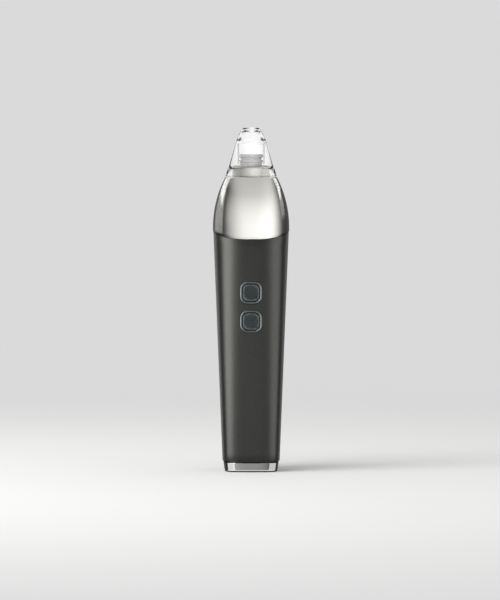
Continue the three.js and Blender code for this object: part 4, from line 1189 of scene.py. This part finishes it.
# Height aimed at, azimuth and elevation in degrees, distance, width, height, brightness, lit pieces
LAMPS = {
    "strip_left": (0.15, -51, 0, 0.22, 0.19, 0.4, 4.4, LOW_PIECES),
    "strip_right": (0.14, 58, 0, 0.22, 0.23, 0.42, 2.0, LOW_PIECES),
    "back_strip_left": (0.12, -142, 0, 0.26, 0.16, 0.4, 0.9, LOW_PIECES),
    "back_strip_right": (0.12, 142, 0, 0.26, 0.16, 0.4, 0.6, LOW_PIECES),
    "front_card": (-0.04, 0, 0, 0.5, 0.3, 0.16, 1.0, LOW_PIECES),
    "foot_left": (0.0, -60, -20, 0.3, 0.36, 0.22, 0.92, FOOT_RING),
    "foot_middle": (0.0, 4, -20, 0.3, 0.4, 0.22, 1.0, FOOT_RING),
    "foot_right": (0.0, 76, -20, 0.3, 0.44, 0.22, 0.74, FOOT_RING),
    "foot_below": (0.0, 0, -90, 0.12, 0.3, 0.3, 0.6, FOOT_RING),
    "collar_right": (0.165, 105, 0, 0.5, 0.45, 0.4, 1.0, ["collar_turning"]),
    "rim_left": (0.145, -117, 44, 0.6, 0.74, 0.7, 1.0, SILVER_PIECES),
    "rim_right": (0.145, 118, 46, 0.6, 0.5, 0.68, 1.1, SILVER_PIECES),
    "low_rim_left": (0.145, -108, 14, 0.6, 0.78, 0.42, 0.38, SILVER_PIECES),
    "low_rim_right": (0.145, 108, 15, 0.6, 0.36, 0.24, 0.35, SILVER_PIECES),
    "seal_front": (0.17, -35, 12, 0.5, 0.5, 0.5, 1.5, SEAL_PIECES),
    "seal_back": (0.17, 200, 12, 0.5, 0.5, 0.5, 1.5, SEAL_PIECES),
    "floor_light": (0.0, -62, 42, 1.0, 0.5, 0.5, 3.4, ["floor"]),
}
# The same measures of the lamp that lights all but the silver pieces and the tip
KEY_LAMP = (0.1, -50, 58, 1.3, 0.9, 0.9, 2.2)


def studio_lamps():
    """Upright strips for body and foot, a tent and rims for the head, and a broad key for the rest."""
    for name, (*setting, pieces) in LAMPS.items():
        light_only(softbox(name, *setting), pieces)
    grade_across(bpy.data.objects["foot_middle"], first=0.54, last=0.12)
    tent_pieces = SILVER_PIECES + ["tip_moulding"]
    light_only(light_tent(), tent_pieces)
    light_only(softbox("key", *KEY_LAMP), tent_pieces, "EXCLUDE")


# How the surroundings change with height: from one rise of a ray to another, from one level to another
ROOM_LEVELS = {
    "overhead": (0.57, 0.97, 0.0, 0.7),
    "low_wall": (-0.26, -0.18, 0.2, 1.0),
    "floor_glow": (-0.62, -0.36, 0.5, 0.0),
    "clear_ceiling": (0.2, 0.5, 1.0, 0.05),
    "clear_ground": (-0.6, -0.3, 0.25, 1.0),
}
# The way to the paler back of the dim room, and how its level changes as a ray turns that way
BACK_AZIMUTH = -165
BACK_LEVEL = (0.5, 0.95, 0.06, 0.12)


def studio_world():
    """Pale surroundings for the camera, a dim room with a pale floor and ceiling for mirrors,
    and white walls between a dark ceiling and a dusky floor for the clear tip."""
    world = bpy.data.worlds.new("studio")
    bpy.context.scene.world = world
    world.use_nodes = True
    world.node_tree.nodes.clear()
    way = add(world, "ShaderNodeTexCoord").outputs["Generated"]
    rise = add(world, "ShaderNodeSeparateXYZ", {0: way}).outputs["Z"]
    level = {}
    for name, (low, high, first, last) in ROOM_LEVELS.items():
        change = {"Value": rise, "From Min": low, "From Max": high, "To Min": first, "To Max": last}
        level[name] = add(world, "ShaderNodeMapRange", change).outputs[0]
    backwards = add(
        world, "ShaderNodeVectorMath", {0: way, 1: direction(BACK_AZIMUTH, 0)}, operation="DOT_PRODUCT"
    ).outputs["Value"]
    low, high, first, last = BACK_LEVEL
    change = {"Value": backwards, "From Min": low, "From Max": high, "To Min": first, "To Max": last}
    behind = add(world, "ShaderNodeMapRange", change)
    wall = add(world, "ShaderNodeMath", {0: behind.outputs[0], 1: level["overhead"]}, operation="ADD")
    dim = add(
        world,
        "ShaderNodeMath",
        {0: wall.outputs[0], 1: level["low_wall"], 2: level["floor_glow"]},
        operation="MULTIPLY_ADD",
    )
    bright = add(
        world,
        "ShaderNodeMath",
        {0: level["clear_ceiling"], 1: level["clear_ground"]},
        operation="MULTIPLY",
    )
    path = add(world, "ShaderNodeLightPath")
    shown = add(world, "ShaderNodeBackground", {"Color": linear("FFFFFF"), "Strength": 0.55}).outputs[0]
    for ray, colour, strength in (
        ("Is Glossy Ray", "FFFFFF", dim.outputs[0]),
        ("Is Transmission Ray", "FFFFFF", bright.outputs[0]),
        ("Is Camera Ray", "DADADA", 1.0),
    ):
        seen = add(world, "ShaderNodeBackground", {"Color": linear(colour), "Strength": strength})
        choice = {0: path.outputs[ray], 1: shown, 2: seen.outputs[0]}
        shown = add(world, "ShaderNodeMixShader", choice).outputs[0]
    add(world, "ShaderNodeOutputWorld", {"Surface": shown})


def photo_camera():
    """A long lens level with the neck, straight in front, aimed at the middle of the object."""
    sensor = 36
    distance = 2.0
    view_height = 0.3312
    aim = Vector((-0.0006, 0, 0.0941))
    eye_height = 0.172
    rise = math.asin((eye_height - aim.z) / distance)
    way = Vector((0, -math.cos(rise), math.sin(rise)))
    camera = bpy.data.cameras.new("photo_camera")
    camera.sensor_width = sensor
    camera.lens = sensor * distance / view_height
    holder = bpy.data.objects.new("photo_camera", camera)
    bpy.context.scene.collection.objects.link(holder)
    holder.location = aim + way * distance
    holder.rotation_euler = (-way).to_track_quat("-Z", "Y").to_euler()
    bpy.context.scene.camera = holder


build_pieces()
pale_floor()
studio_lamps()
studio_world()
photo_camera()
bpy.context.scene.view_settings.view_transform = "Standard"
